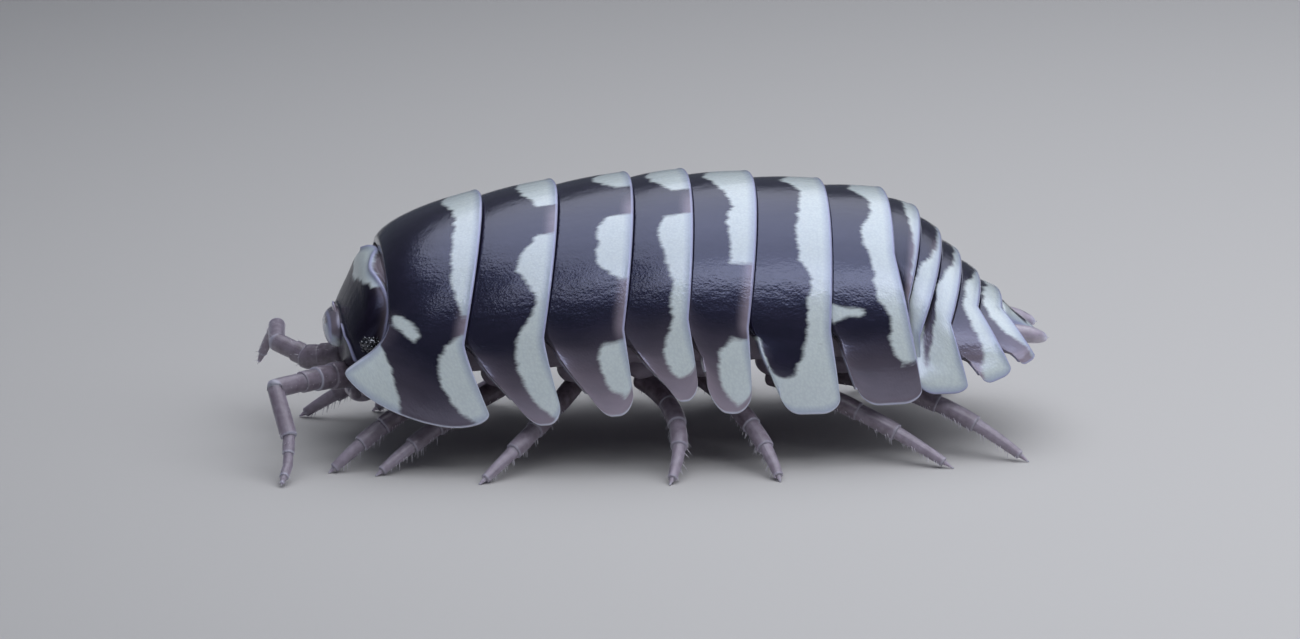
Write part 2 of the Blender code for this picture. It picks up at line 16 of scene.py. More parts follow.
import bpy
import numpy as np
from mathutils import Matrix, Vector


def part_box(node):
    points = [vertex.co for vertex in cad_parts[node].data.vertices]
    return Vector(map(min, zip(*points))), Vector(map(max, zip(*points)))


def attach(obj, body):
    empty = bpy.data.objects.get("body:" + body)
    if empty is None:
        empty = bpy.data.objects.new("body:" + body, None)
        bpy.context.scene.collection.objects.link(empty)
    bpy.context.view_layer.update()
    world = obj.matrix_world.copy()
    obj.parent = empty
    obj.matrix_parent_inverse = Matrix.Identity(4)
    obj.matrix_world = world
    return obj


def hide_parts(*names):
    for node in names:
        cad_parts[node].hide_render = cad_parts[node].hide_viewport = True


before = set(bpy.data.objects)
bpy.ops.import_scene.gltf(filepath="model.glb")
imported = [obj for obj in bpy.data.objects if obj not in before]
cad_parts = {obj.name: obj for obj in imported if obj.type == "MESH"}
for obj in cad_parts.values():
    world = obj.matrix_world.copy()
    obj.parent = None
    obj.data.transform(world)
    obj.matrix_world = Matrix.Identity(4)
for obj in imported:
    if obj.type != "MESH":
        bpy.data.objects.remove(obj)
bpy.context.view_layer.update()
MM = 0.001
SIDE_WORDS = {-1.0: "left", 1.0: "right"}
print("solids loaded:", len(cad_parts), "nodes")

# %% [markdown]
# ## Small helpers
#
# Lengths are written in millimetres and turned to metres when a mesh is made. Colours
# are written as on a screen, in hex, and one function turns them to the linear values
# that a shader adds and mixes. One more function adds a node with its settings and its
# links, and four short ones use it for colours, sums, stored values and the shader, so
# that each finish below reads as a short recipe.

# %% Colour and node helpers
def linear(hex_colour):
    """A screen colour such as '#c8d4d8' as linear red, green, blue and alpha."""
    channels = [int(hex_colour[i:i + 2], 16) / 255.0 for i in (1, 3, 5)]
    return tuple(c / 12.92 if c <= 0.04045 else ((c + 0.055) / 1.055) ** 2.4 for c in channels) + (1.0,)


def add_node(tree, kind, inputs=None, **settings):
    """Add one node. An input that is itself a socket is linked, any other is set."""
    node = tree.nodes.new(kind)
    for name, value in settings.items():
        setattr(node, name, value)
    for key, value in (inputs or {}).items():
        if isinstance(value, bpy.types.NodeSocket):
            tree.links.new(value, node.inputs[key])
        else:
            node.inputs[key].default_value = value
    return node


def mix_colours(tree, share, first, second):
    """The socket of a colour between two, at a share that is a socket too."""
    mix = add_node(tree, "ShaderNodeMix", {0: share, 6: first, 7: second}, data_type="RGBA")
    return mix.outputs[2]


def reckon(tree, operation, *numbers, **settings):
    """The socket of a sum of other sockets and plain numbers."""
    node = add_node(tree, "ShaderNodeMath", dict(enumerate(numbers)), operation=operation, **settings)
    return node.outputs[0]


def stored(tree, name, kind="Fac"):
    """The socket of a value that the mesh stores for each of its points."""
    return add_node(tree, "ShaderNodeAttribute", attribute_name=name).outputs[kind]


def cover(tree, output, settings):
    """One principled shader with its settings as the surface of a material."""
    shader = add_node(tree, "ShaderNodeBsdfPrincipled", settings)
    tree.links.new(shader.outputs[0], output.inputs["Surface"])


def new_material(name):
    """An empty node material with its output, and the tree to build the finish in."""
    material = bpy.data.materials.new(name)
    material.use_nodes = True
    tree = material.node_tree
    tree.nodes.clear()
    output = tree.nodes.new("ShaderNodeOutputMaterial")
    return material, tree, output


# %% Mesh helpers
def lerp(a, b, share):
    """The value at a share of the way from one to another."""
    return a + (b - a) * share


def smooth(share):
    """A share from 0 to 1 that starts and ends gently."""
    share = np.clip(share, 0.0, 1.0)
    return share * share * (3.0 - 2.0 * share)


def grid_faces(rows, columns, wrap=False, start=0):
    """Quads between the points of a grid. With wrap, the last column meets the first."""
    row = np.arange(rows - 1)[:, None] * columns
    column = np.arange(columns if wrap else columns - 1)[None, :]
    beside = (column + 1) % columns
    quads = np.stack([row + column, row + beside, row + columns + beside, row + columns + column], -1)
    return (quads.reshape(-1, 4) + start).tolist()


def closed_tube(loops, start=0):
    """Faces of a tube of loops with both ends closed. The loops may be very small there."""
    count, sides = loops.shape[:2]
    faces = grid_faces(count, sides, True, start)
    last = start + (count - 1) * sides
    faces.append(list(range(start, start + sides))[::-1])
    faces.append(list(range(last, last + sides)))
    return faces


def smooth_rows(rows, count):
    """Extra rows on smooth curves through a few given ones."""
    rows = np.asarray(rows, float)
    padded = np.concatenate([2.0 * rows[:1] - rows[1:2], rows, 2.0 * rows[-1:] - rows[-2:-1]])
    place = np.linspace(0.0, len(rows) - 1.0, count)
    whole = np.minimum(place.astype(int), len(rows) - 2)
    t = (place - whole)[:, None]
    a, b, c, d = (padded[whole + k] for k in range(4))
    bend = (2.0 * a - 5.0 * b + 4.0 * c - d) * t ** 2 + (3.0 * b - a - 3.0 * c + d) * t ** 3
    return b + 0.5 * ((c - a) * t + bend)


def tube_loops(centres, radii, sides, flat=1.0):
    """Round loops along a line of centres. A flat below 1 presses them along their normal."""
    centres = np.asarray(centres, float)
    along = np.gradient(centres, axis=0)
    along /= np.linalg.norm(along, axis=-1, keepdims=True)
    normal = np.array([0.0, 0.0, 1.0]) if abs(along[0, 2]) < 0.9 else np.array([1.0, 0.0, 0.0])
    turn = np.linspace(0.0, 2.0 * math.pi, sides, endpoint=False)[:, None]
    loops = []
    for centre, direction, radius in zip(centres, along, radii):
        normal = normal - direction * normal.dot(direction)
        normal /= np.linalg.norm(normal)
        other = np.cross(direction, normal)
        loops.append(centre + radius * (flat * normal * np.cos(turn) + other * np.sin(turn)))
    return np.array(loops)


def joined(parts):
    """Several closed tubes as one set of points, faces and values."""
    points, faces, values = [], [], {}
    start = 0
    for loops, extra in parts:
        points.append(loops.reshape(-1, 3))
        faces += closed_tube(loops, start)
        start += loops.shape[0] * loops.shape[1]
        for key, data in extra.items():
            data = np.repeat(data, loops.shape[1]) if data.ndim == 1 else data.reshape(-1, 3)
            values.setdefault(key, []).append(data)
    return np.concatenate(points), faces, {key: np.concatenate(data) for key, data in values.items()}


def add_piece(name, points, faces, material, replaced=(), values=None):
    """Make a smooth mesh piece from points in millimetres, riding on the animal's body."""
    mesh = bpy.data.meshes.new(name)
    mesh.from_pydata((np.asarray(points, float).reshape(-1, 3) * MM).tolist(), [], faces)
    mesh.shade_smooth()
    for key, data in (values or {}).items():
        data = np.asarray(data, np.float32)
        vector = data.ndim > 1 and data.shape[-1] == 3
        layer = mesh.attributes.new(key, "FLOAT_VECTOR" if vector else "FLOAT", "POINT")
        layer.data.foreach_set("vector" if vector else "value", data.ravel())
    mesh.materials.append(material)
    piece = bpy.data.objects.new(name, mesh)
    bpy.context.scene.collection.objects.link(piece)
    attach(piece, "root")
    if replaced:
        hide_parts(*replaced)
    print(name, len(mesh.vertices), "points,", len(mesh.polygons), "faces")
    return piece


# %% [markdown]
# ## Where the camera stands
#
# The animal is seen from its left side, a little from the front and a little from
# above, through a long macro lens. A long lens far away keeps the near and the far legs
# the same size, as in a macro photograph. The scene is tiny, so the near clipping limit
# has to be far smaller than usual.

# %% Camera
CAMERA_AZIMUTH = math.radians(-7.0)
CAMERA_ELEVATION = math.radians(13.0)
CAMERA_DISTANCE = 220.0
CAMERA_TARGET = Vector((0.0, 0.0, 3.07))
CAMERA_LENS = 237.6

to_camera = Vector((
    math.sin(CAMERA_AZIMUTH) * math.cos(CAMERA_ELEVATION),
    -math.cos(CAMERA_AZIMUTH) * math.cos(CAMERA_ELEVATION),
    math.sin(CAMERA_ELEVATION),
))
camera_data = bpy.data.cameras.new("camera")
camera_data.lens = CAMERA_LENS
camera_data.sensor_width = 36.0
camera_data.clip_start = 0.01
camera_data.clip_end = 2.0
camera = bpy.data.objects.new("camera", camera_data)
camera.location = (CAMERA_TARGET + to_camera * CAMERA_DISTANCE) * MM
camera.rotation_euler = (-to_camera).to_track_quat("-Z", "Y").to_euler()
bpy.context.scene.collection.objects.link(camera)
bpy.context.scene.camera = camera
print("camera at", tuple(round(c / MM) for c in camera.location), "mm")

# %% [markdown]
# ## The rims of the shields
#
# Each shield runs from the rear rim of the one before it to its own rear rim. So one
# row of sizes for each rim gives the whole armour: where the rim crosses the middle of
# the back, how wide and high its arch is, how far its flank is drawn forwards into a
# waist, and how far the corner of the plate sweeps back. The rows follow the solids'
# own sizes, in millimetres, with the head towards -X and the floor at zero. Only the
# front edge by the head and two laps of the side plates are drawn out a little more,
# and the lower edges of the last two tail plates slope.

# %% Sizes of the rims
Rim = namedtuple(
    "Rim",
    "name top_x top_z half_width tip_z belly_z waist_shift waist_at tip_sweep sweep_power lap_end",
)
FRONT_EDGE = Rim("front_edge", -7.00, 5.24, 3.00, 2.50, 2.35, 0.05, 0.60, -1.65, 3.0, 0.0)
RIMS = [
    Rim("pereonite_1", -4.35, 6.52, 3.75, 1.19, 2.35, -0.78, 0.75, 0.75, 1.3, 0.74),
    Rim("pereonite_2", -2.43, 6.75, 3.95, 1.33, 2.40, -0.70, 0.75, 0.50, 1.4, 0.74),
    Rim("pereonite_3", -0.52, 6.88, 4.05, 1.54, 2.45, -0.59, 0.75, 0.25, 1.1, 0.80),
    Rim("pereonite_4", 0.96, 6.92, 4.10, 1.90, 2.45, -0.44, 0.75, 0.25, 1.1, 0.86),
    Rim("pereonite_5", 2.63, 6.82, 4.10, 1.49, 2.45, -0.58, 0.75, 0.05, 1.1, 0.74),
    Rim("pereonite_6", 4.46, 6.58, 4.00, 1.42, 2.45, -0.30, 0.75, 0.24, 1.1, 0.74),
    Rim("pereonite_7", 6.07, 6.30, 3.85, 1.59, 2.50, -0.12, 0.45, 0.57, 1.2, 0.80),
    Rim("pleonite_1", 6.92, 5.82, 3.05, 2.80, 2.66, -0.64, 0.75, 0.00, 1.0, 2.00),
    Rim("pleonite_2", 7.49, 5.22, 3.10, 2.40, 2.68, -0.95, 0.85, 0.00, 1.0, 0.84),
    Rim("pleonite_3", 8.00, 4.66, 3.45, 1.72, 2.68, -0.64, 0.62, 0.40, 1.1, 0.82),
    Rim("pleonite_4", 8.50, 4.10, 3.00, 2.10, 2.64, -0.30, 0.45, 0.75, 1.1, 0.82),
    Rim("pleonite_5", 9.07, 3.61, 2.45, 2.36, 2.60, -0.14, 0.35, 0.70, 1.1, 0.40),
]
FIRST_TAIL_RING = 7
SHORT_RINGS = ("pleonite_1", "pleonite_2")
WAIST_POWER = 1.6
# How far the lower front corner of each plate lies behind the corner before it
CORNER_LAG = [0.0, 0.50, 0.55, 0.66, 0.02, 0.50, 0.24, 0.0, 0.0, 0.10, 0.15, 0.05]
LAG_POWER = 2.1
# How soon each shield reaches its full height and width behind its front edge
RISE_POWER = [0.55, 0.9, 0.95, 0.95, 0.95, 0.95, 0.95, 0.9, 0.9, 0.8, 0.9, 0.9]
TIP_RISE_POWER = 0.12
# How much of the full height the lower edges of the last three plates start with in front
TAIL_TIP_RISE = [1.0, 0.35, 0.45]
FIRST_TIP_CURVE = 2.3
# The third tail ring's plate is broader than the rim before it: its corner's shift
BROAD_PLATE_RING = 9
BROAD_PLATE_SHIFT = (-0.40, 0.24, -0.62)
print("rims:", len(RIMS))

# %% [markdown]
# ## The arch of a shield
#
# Seen from the front, a shield is an arch a little squarer than an ellipse. A place on
# it is given by a share: 0 in the middle of the back and 1 at the tip of the side
# plate. The share grows with the angle, so that it spaces points evenly along the arch.

# %% Arch and rim curves
ARCH_POWER = 2.0 / 2.15


def rim_x(rim, share):
    """How far back the rim lies at a share of the way down its flank."""
    x = rim.top_x + rim.waist_shift * np.minimum(share / rim.waist_at, 1.0) ** WAIST_POWER
    beyond = np.maximum(share - rim.waist_at, 0.0) / (1.0 - rim.waist_at)
    return x + rim.tip_sweep * beyond ** rim.sweep_power


def rim_points(rim, share, side):
    """Points on a rim's outer edge, for shares of 0 to 1 on the side of -1 or 1."""
    turn = share * math.pi / 2.0
    y = side * rim.half_width * np.sin(turn) ** ARCH_POWER
    z = rim.tip_z + (rim.top_z - rim.tip_z) * np.maximum(np.cos(turn), 0.0) ** ARCH_POWER
    return np.stack([rim_x(rim, share), y, z], -1)


def rim_inward(rim, share, side):
    """Unit vectors from the rim's edge into the body, square to the arch."""
    turn = share * math.pi / 2.0
    steep = 2.0 / ARCH_POWER - 1.0
    y = np.sin(turn) ** (ARCH_POWER * steep) / rim.half_width
    z = np.maximum(np.cos(turn), 0.0) ** (ARCH_POWER * steep) / (rim.top_z - rim.tip_z)
    length = np.hypot(y, z)
    return np.stack([np.zeros_like(y), -side * y / length, -z / length], -1)


# %% [markdown]
# ## One shield as a mesh
#
# A shield could be a flat strip with a solidify modifier, but its two faces differ. The
# front is sunk like a collar, because the shield before it slides over it when the
# animal rolls up. The flank ends in a free plate with a rounded rim. So both faces are
# made as one grid, from the collar to the rear rim, and the inner face is the outer one
# moved inwards by a thickness that fades towards every free edge.
#
# The grid also gives what the markings need: for each point its distance from the rear
# rim, its distance round the arch from the middle of the back, and its distance from
# the nearest free edge, all in millimetres.

# %% Sizes of a shield
LAP = 0.35
TAIL_LAP = 0.22
COLLAR_DEPTH = 0.18
TAIL_COLLAR_DEPTH = 0.24
COLLAR_FRONT_DEPTH = 0.42
FREE_EDGE_GAP = 0.16
SHORT_COLLAR_REACH = 0.70
# Corners of the side plates: how far they are cut back, and over which part of the edge
REAR_CORNERS = [0.044, 0.056, 0.056, 0.056, 0.056, 0.040, 0.040, 0.04, 0.04, 0.042, 0.042, 0.034]
FRONT_CORNERS = [0.022, 0.076, 0.076, 0.076, 0.076, 0.062, 0.062, 0.05, 0.05, 0.055, 0.055, 0.030]
CORNER_REACHES = [0.34, 0.42, 0.42, 0.42, 0.42, 0.32, 0.32, 0.32, 0.32, 0.32, 0.32, 0.32]
FIRST_CORNER_RADIUS = 0.30
SHIELD_THICKNESS = 0.26
PLATE_THICKNESS = 0.17
RIM_THICKNESS = 0.10
EDGE_ROUNDING = 0.045
BEAD_HEIGHT = 0.010
BEAD_WIDTH = 0.045
SHIELD_CROWN = 0.03

# Shares down the flank and along the shield, set close together near the free edges
FLANK_SHARES = np.concatenate([
    np.linspace(0.0, 0.955, 92), [0.963, 0.971, 0.978, 0.984, 0.989, 0.993, 0.996, 0.998, 0.9993, 1.0],
])
ALONG_SHARES = np.concatenate([
    [0.0, 0.012, 0.025, 0.045, 0.07, 0.10, 0.135], np.linspace(0.175, 0.885, 22),
    [0.91, 0.93, 0.948, 0.963, 0.975, 0.985, 0.993, 0.998, 1.0],
])
COLLAR_SHARES = (0.0, 0.5)


# %% Shield grid
def round_corner(share, reach):
    """A quarter circle that falls from 1 at a corner to 0 where the corner ends."""
    near = np.clip(1.0 - share / reach, 0.0, 1.0)
    return 1.0 - np.sqrt(1.0 - near * near)


def trimmed(share, trim):
    """Shares that stop short of the plate's tip by a trim."""
    return share * (1.0 - trim * smooth((share - 0.7) / 0.3))


def front_depths(index, share):
    """Collar and groove of a shield's front: how far along and how deep, by share."""
    before = RIMS[index - 1]
    lapped = 1.0 - smooth((share - before.lap_end + 0.04) / 0.11)
    sunk = 1.0 - smooth((share - before.lap_end - 0.02) / 0.14)
    if before.lap_end > 1.0 or RIMS[index].name in SHORT_RINGS:
        lapped = sunk = np.ones_like(share)
    lap = TAIL_LAP if index > FIRST_TAIL_RING else LAP
    if before.name in SHORT_RINGS:
        lap = lap * lerp(1.0, -0.30, smooth((share - 0.45) / 0.3))
    free = np.maximum(share - before.lap_end, 0.0) / (1.0 - min(before.lap_end, 0.9))
    lag = FREE_EDGE_GAP + CORNER_LAG[index] * free ** LAG_POWER
    deep = TAIL_COLLAR_DEPTH if index >= FIRST_TAIL_RING else COLLAR_DEPTH
    collar = lerp(lag, -lap, lapped), lerp(0.10, COLLAR_FRONT_DEPTH, sunk)
    groove = lerp(lag + 0.07, 0.04, lapped), lerp(0.02, deep, sunk)
    return collar, groove, lapped


def front_line(index, share, trim, side, along):
    """The front of a shield: its collar's edge at 0 and the groove behind that at 1."""
    before = RIMS[index - 1]
    cut = trimmed(share, trim)
    collar, groove, _ = front_depths(index, share)
    ahead, depth = (lerp(a, b, along) for a, b in zip(collar, groove))
    line = rim_points(before, cut, side) + rim_inward(before, cut, side) * depth[:, None]
    line[:, 0] += ahead
    if index == BROAD_PLATE_RING:
        low, corner = smooth((share - 0.82) / 0.12), smooth((share - 0.78) / 0.16)
        line += np.stack([corner, side * low, low], -1) * BROAD_PLATE_SHIFT
    return line


def risen(index, share, along):
    """How much of the rim's height and width a shield has reached on its way back."""
    tip = along ** TIP_RISE_POWER if index else 1.0 - (1.0 - along) ** FIRST_TIP_CURVE
    if index >= BROAD_PLATE_RING:
        tip = lerp(TAIL_TIP_RISE[index - BROAD_PLATE_RING], 1.0, along)
    return lerp(along ** RISE_POWER[index], tip, smooth((share - 0.8) / 0.2))


def shield_grid(index, side):
    """Outer points of one half of a shield, rows down the flank, columns to the rear."""
    rim = RIMS[index]
    before = RIMS[index - 1] if index else FRONT_EDGE
    reach = SHORT_COLLAR_REACH if index == FIRST_TAIL_RING else 1.0
    share = FLANK_SHARES
    bend = CORNER_REACHES[index]
    lapped = np.zeros_like(share)
    places = [(1.0, along) for along in ALONG_SHARES]
    if index:
        lapped = front_depths(index, share * reach)[2]
        places = [(collar, 0.0) for collar in COLLAR_SHARES] + places
    columns = []
    for collar, along in places:
        trim = REAR_CORNERS[index] * round_corner(1.0 - along, bend)
        trim += FRONT_CORNERS[index] * round_corner(along, bend)
        if index:
            front = front_line(index, share * reach, trim, side, collar)
        else:
            front = rim_points(before, trimmed(share, trim), side)
            front[:, 0] += FIRST_CORNER_RADIUS * round_corner(1.0 - share, 0.09)
        rear = rim_points(rim, trimmed(share, trim), side)
        rise = risen(index, share, along)
        point = np.stack([
            lerp(front[:, 0], rear[:, 0], along),
            lerp(front[:, 1], rear[:, 1], rise),
            lerp(front[:, 2], rear[:, 2], rise),
        ], -1)
        outward = point * [0.0, 1.0, 1.0] - [0.0, 0.0, 2.5]
        outward /= np.linalg.norm(outward, axis=-1, keepdims=True)
        columns.append(point + outward * SHIELD_CROWN * math.sin(math.pi * along))
    return np.stack(columns, 1), lapped


# %% Distances on a shield
def steps_along(points, axis):
    """Distance from the first point to each one, along one axis of a grid."""
    step = np.linalg.norm(np.diff(points, axis=axis), axis=-1)
    width = [(0, 0), (0, 0)]
    width[axis] = (1, 0)
    return np.cumsum(np.pad(step, width), axis=axis)


def shield_distances(points, lapped):
    """From each point: to the rear rim, round from the back, and to a free edge."""
    along = steps_along(points, 1)
    around = steps_along(points, 0)
    to_rear = along[:, -1:] - along
    to_tip = around[-1:, :] - around
    to_front = along + 10.0 * lapped[:, None]
    to_edge = np.minimum(np.minimum(to_rear, to_tip), to_front)
    return to_rear, around, to_edge, to_front


def grid_normals(points):
    """Outward unit normals of a half shield's grid."""
    down = np.gradient(points, axis=0)
    back = np.gradient(points, axis=1)
    normal = np.cross(down, back)
    return normal / np.maximum(np.linalg.norm(normal, axis=-1, keepdims=True), 1e-9)


# %% [markdown]
# ## A closed shell from a grid
#
# The outer face alone would look like paper from below. So the inner face is the outer
# one moved inwards, and the two meet along every edge in a half-round: near an edge
# both faces bend towards each other along a quarter circle. A low bead runs just inside
# the free edges, as on the real plates, and catches the light as a thin bright line.

# %% Shield shell
def shell_faces(rows, columns):
    """Faces of an outer and an inner grid that share their border points."""
    outer = np.arange(rows * columns).reshape(rows, columns)
    inner = outer + rows * columns
    border = np.ones((rows, columns), bool)
    border[1:-1, 1:-1] = False
    inner[border] = outer[border]
    quads = [
        np.stack([grid[:-1, :-1], grid[:-1, 1:], grid[1:, 1:], grid[1:, :-1]], -1).reshape(-1, 4)
        for grid in (outer, inner[:, ::-1])
    ]
    return np.concatenate(quads)


def compact(points, faces, values):
    """Leave out the points that no face uses."""
    used, faces = np.unique(faces, return_inverse=True)
    return points[used], faces.reshape(-1, 4).tolist(), {key: data[used] for key, data in values.items()}


def shield_faces_of(index, side):
    """Outer and inner points of half a shield, with its distances."""
    points, lapped = shield_grid(index, side)
    to_rear, _, to_edge, to_front = shield_distances(points, lapped)
    share = FLANK_SHARES[:, None]
    before = RIMS[index - 1] if index else FRONT_EDGE
    along = np.linspace(0.0, 1.0, points.shape[1])[None, :, None]
    inward = lerp(
        rim_inward(before, FLANK_SHARES, side)[:, None, :],
        rim_inward(RIMS[index], FLANK_SHARES, side)[:, None, :],
        along,
    )
    inward /= np.linalg.norm(inward, axis=-1, keepdims=True)
    plate = smooth((share - RIMS[index].lap_end + 0.05) / 0.12)
    full = lerp(SHIELD_THICKNESS, PLATE_THICKNESS, plate)
    thickness = lerp(RIM_THICKNESS, full, smooth(to_edge / 0.65))
    near = np.clip(1.0 - to_edge / EDGE_ROUNDING, 0.0, 1.0)
    bend = np.sqrt(1.0 - near * near)
    bead = BEAD_HEIGHT * np.exp(-((to_edge - 0.065) / BEAD_WIDTH) ** 2)
    outer = points + inward * (thickness / 2.0 * (1.0 - bend) - bead * bend)[..., None]
    inner = points + inward * (thickness / 2.0 * (1.0 + bend))[..., None]
    return outer, inner, to_rear, to_edge, to_front


# %% [markdown]
# ## The pale marks
#
# Each mark is laid out the way a tailor marks cloth. Its place is how far ahead of the
# rear rim it lies, in millimetres, and at what share of the way down the flank. Most
# marks are bands that run along the rear rim and out over it, some of them across the
# middle of the back. A band needs only where it starts and ends and a few even steps of
# its width. The other kinds are streaks, a lobe and a hem along a plate's lower edge.
#
# For each point of the shield the distance into the nearest mark is stored, positive
# inside. The finish adds a fine ragged noise to that distance before it cuts, so one
# smooth outline gives the fringed border of pigment between scales.

# %% Kinds of marks
OVER_RIM = -0.3
BELOW_EDGE = 1.10
BEYOND_FRONT = 6.0
OUTLINE_STEPS = 5


def curved(*points):
    """A smooth line through a few places."""
    return smooth_rows(points, OUTLINE_STEPS * len(points)).tolist()


def band(start, end, *widths):
    """A band along the rear rim between two shares, with widths at even steps."""
    shares = np.linspace(start, end, len(widths))
    return [(OVER_RIM, start), *curved(*zip(widths, shares)), (OVER_RIM, end)]


def streak(front, tip, front_width, tip_width):
    """A slim mark that points to the rear, with a long arm and a rounded tip."""
    (ahead, share), (tip_ahead, tip_share) = front, tip
    arm, neck = lerp(ahead, tip_ahead, 0.4), lerp(ahead, tip_ahead, 0.8)
    arm_share = lerp(share, tip_share, 0.4)
    return curved(
        (ahead, share - front_width), (arm, arm_share - tip_width), (neck, tip_share - tip_width),
        (tip_ahead, tip_share),
        (neck, tip_share + tip_width), (arm, arm_share + tip_width), (ahead, share + front_width),
    )


def front_lobe(ahead, top):
    """A mark that fills the lower front of a plate, with a bulging rear border."""
    border = curved((ahead + 0.3, top), (ahead, top + 0.08), (ahead + 0.3, BELOW_EDGE))
    return [(BEYOND_FRONT, top), *border, (BEYOND_FRONT, BELOW_EDGE)]


def hem(top, bay_low, rear, rear_low, front_low, front):
    """A mark along the whole lower edge of a plate, with a dark bay let in from above."""
    bay = curved((rear, top), (rear_low, bay_low), (front_low, bay_low), (front, top))
    return [(OVER_RIM, top), *bay, (BEYOND_FRONT, top), (BEYOND_FRONT, BELOW_EDGE), (OVER_RIM, BELOW_EDGE)]


# %% Marks of each shield
MARKS = [
    [
        band(-0.10, 0.66, 1.05, 1.00, 0.75, 0.70, 0.70, 0.56, 0.18),
        band(0.72, 1.02, 0.10, 0.62, 0.92, 0.80, 0.35),
        streak((1.95, 0.68), (1.17, 0.735), 0.025, 0.027),
        front_lobe(2.28, 0.80),
    ],
    [
        band(-0.10, 0.21, 1.00, 1.00, 0.85, 0.50),
        band(0.37, 1.02, 0.50, 0.78, 0.95, 0.62, 0.36, 0.46, 0.70, 0.84, 0.82, 0.66, 0.36),
    ],
    [
        band(-0.10, 0.12, 1.00, 1.00, 0.85, 0.45),
        band(0.31, 0.58, 0.62, 0.93, 0.88, 0.90, 0.76, 0.25),
        band(0.79, 0.96, 0.60, 0.77, 0.79, 0.72, 0.45),
    ],
    [
        band(-0.10, 0.17, 1.05, 1.05, 0.90, 0.50),
        band(0.33, 0.93, 0.74, 0.89, 0.80, 0.70, 0.60, 0.45, 0.50, 0.42, 0.68, 0.82, 0.66),
    ],
    [
        band(-0.10, 0.53, 1.30, 1.30, 1.05, 0.85, 0.64, 0.76, 0.64, 0.60),
        band(0.79, 0.98, 0.48, 0.78, 0.92, 0.94, 0.64),
    ],
    [
        band(-0.10, 0.80, 1.20, 1.18, 0.92, 0.72, 0.74, 0.82, 0.90, 0.88, 0.83, 0.56, 0.60, 0.62, 0.70),
        hem(0.79, 0.89, 0.67, 1.15, 1.76, 1.91),
    ],
    [
        band(-0.10, 0.88, 1.00, 1.00, 0.80, 0.56, 0.58, 0.76, 0.82, 0.66, 0.62, 0.70, 0.46, 0.60, 0.46),
        streak((1.98, 0.69), (1.12, 0.69), 0.042, 0.014),
    ],
    [band(-0.10, 0.62, 0.38, 0.42, 0.32, 0.14, 0.10)],
    [band(-0.10, 1.10, 0.16, 0.14, 0.17, 0.50, 0.65, 0.65, 0.65)],
    [
        band(-0.10, 0.76, 0.16, 0.19, 0.22, 0.30, 0.52, 0.72, 0.64, 0.72),
        hem(0.74, 0.87, 0.74, 0.92, 1.05, 1.24),
    ],
    [band(-0.10, 1.10, 0.26, 0.12, 0.25, 0.45, 0.42, 0.48, 0.46, 0.54, 0.88, 1.00)],
    [band(-0.10, 1.10, 0.40, 0.40, 0.57, 0.58, 0.58, 0.54, 0.34, 0.13, 0.12, 0.12)],
]
# How far up from its lower edge each plate is thin enough to let light through, in mm,
# and how clear it gets. The pale grey violet there is partly the thin horn's own colour
# and partly painted light, for light shining through the plate
THIN_LIT_REACH = [2.0, 2.7, 2.9, 2.9, 2.9, 1.6, 2.5, 0.8, 1.2, 3.2, 3.0, 2.6]
THIN_LIT_STRENGTH = [0.40, 0.80, 1.0, 1.0, 1.0, 0.50, 0.60, 0.6, 0.7, 1.0, 1.0, 0.9]


def depth_inside(points, outline):
    """Distance of points to a closed outline, positive for those inside it."""
    a = np.asarray(outline, float)
    step = np.roll(a, -1, axis=0) - a
    offset = points[..., None, :] - a
    along = np.clip((offset * step).sum(-1) / (step * step).sum(-1), 0.0, 1.0)
    distance = np.linalg.norm(offset - along[..., None] * step, axis=-1).min(-1)
    above = offset[..., 1] < 0.0
    crosses = above != np.roll(above, -1, axis=-1)
    slope = step[:, 0] / np.where(step[:, 1] == 0.0, 1.0, step[:, 1])
    left = offset[..., 0] < offset[..., 1] * slope
    inside = (crosses & left).sum(-1) % 2 == 1
    return np.where(inside, distance, -distance)


def mark_depth(index, side, to_rear, arc):
    """Distance into the nearest mark. The right side's marks differ a little."""
    place = np.stack([to_rear, np.broadcast_to(FLANK_SHARES[:, None] * arc, to_rear.shape)], -1)
    if side > 0.0:
        away = smooth(FLANK_SHARES / 0.25)[:, None]
        place[..., 0] += away * 0.16 * np.sin(2.1 * place[..., 1] + 1.7 * index)
        place[..., 1] += away * 0.20 * np.sin(1.3 * place[..., 1] + 2.6 * index + 1.0)
    outlines = [np.asarray(outline) * [1.0, arc] for outline in MARKS[index]]
    return np.max([depth_inside(place, outline) for outline in outlines], axis=0)


# %% Clear parts of the plates
def clearness_and_backlight(index, to_rear, around, to_front):
    """How clear the horn is, partly painted light shining through it: most at the lower front corner and
    along the rear rim.
    """
    share = FLANK_SHARES[:, None]
    to_tip = around[-1:, :] - around
    reach = THIN_LIT_REACH[index]
    near_tip = np.clip(1.0 - (to_tip + 0.15 * np.minimum(to_front, 2.0)) / reach, 0.0, 1.0)
    corner = THIN_LIT_STRENGTH[index] * near_tip ** 1.5
    flank = smooth((share - 0.15) / 0.15) * (1.0 - smooth((share - 0.74) / 0.1))
    rim = 0.75 * flank * smooth(1.0 - to_rear / 0.42)
    front = 0.5 * THIN_LIT_STRENGTH[index] * np.clip(1.0 - to_front / 0.6, 0.0, 1.0) ** 1.5
    front = front * smooth((share - 0.6) / 0.1)
    return np.maximum(np.maximum(corner, rim), front)


print("marks:", sum(len(marks) for marks in MARKS), "outlines")
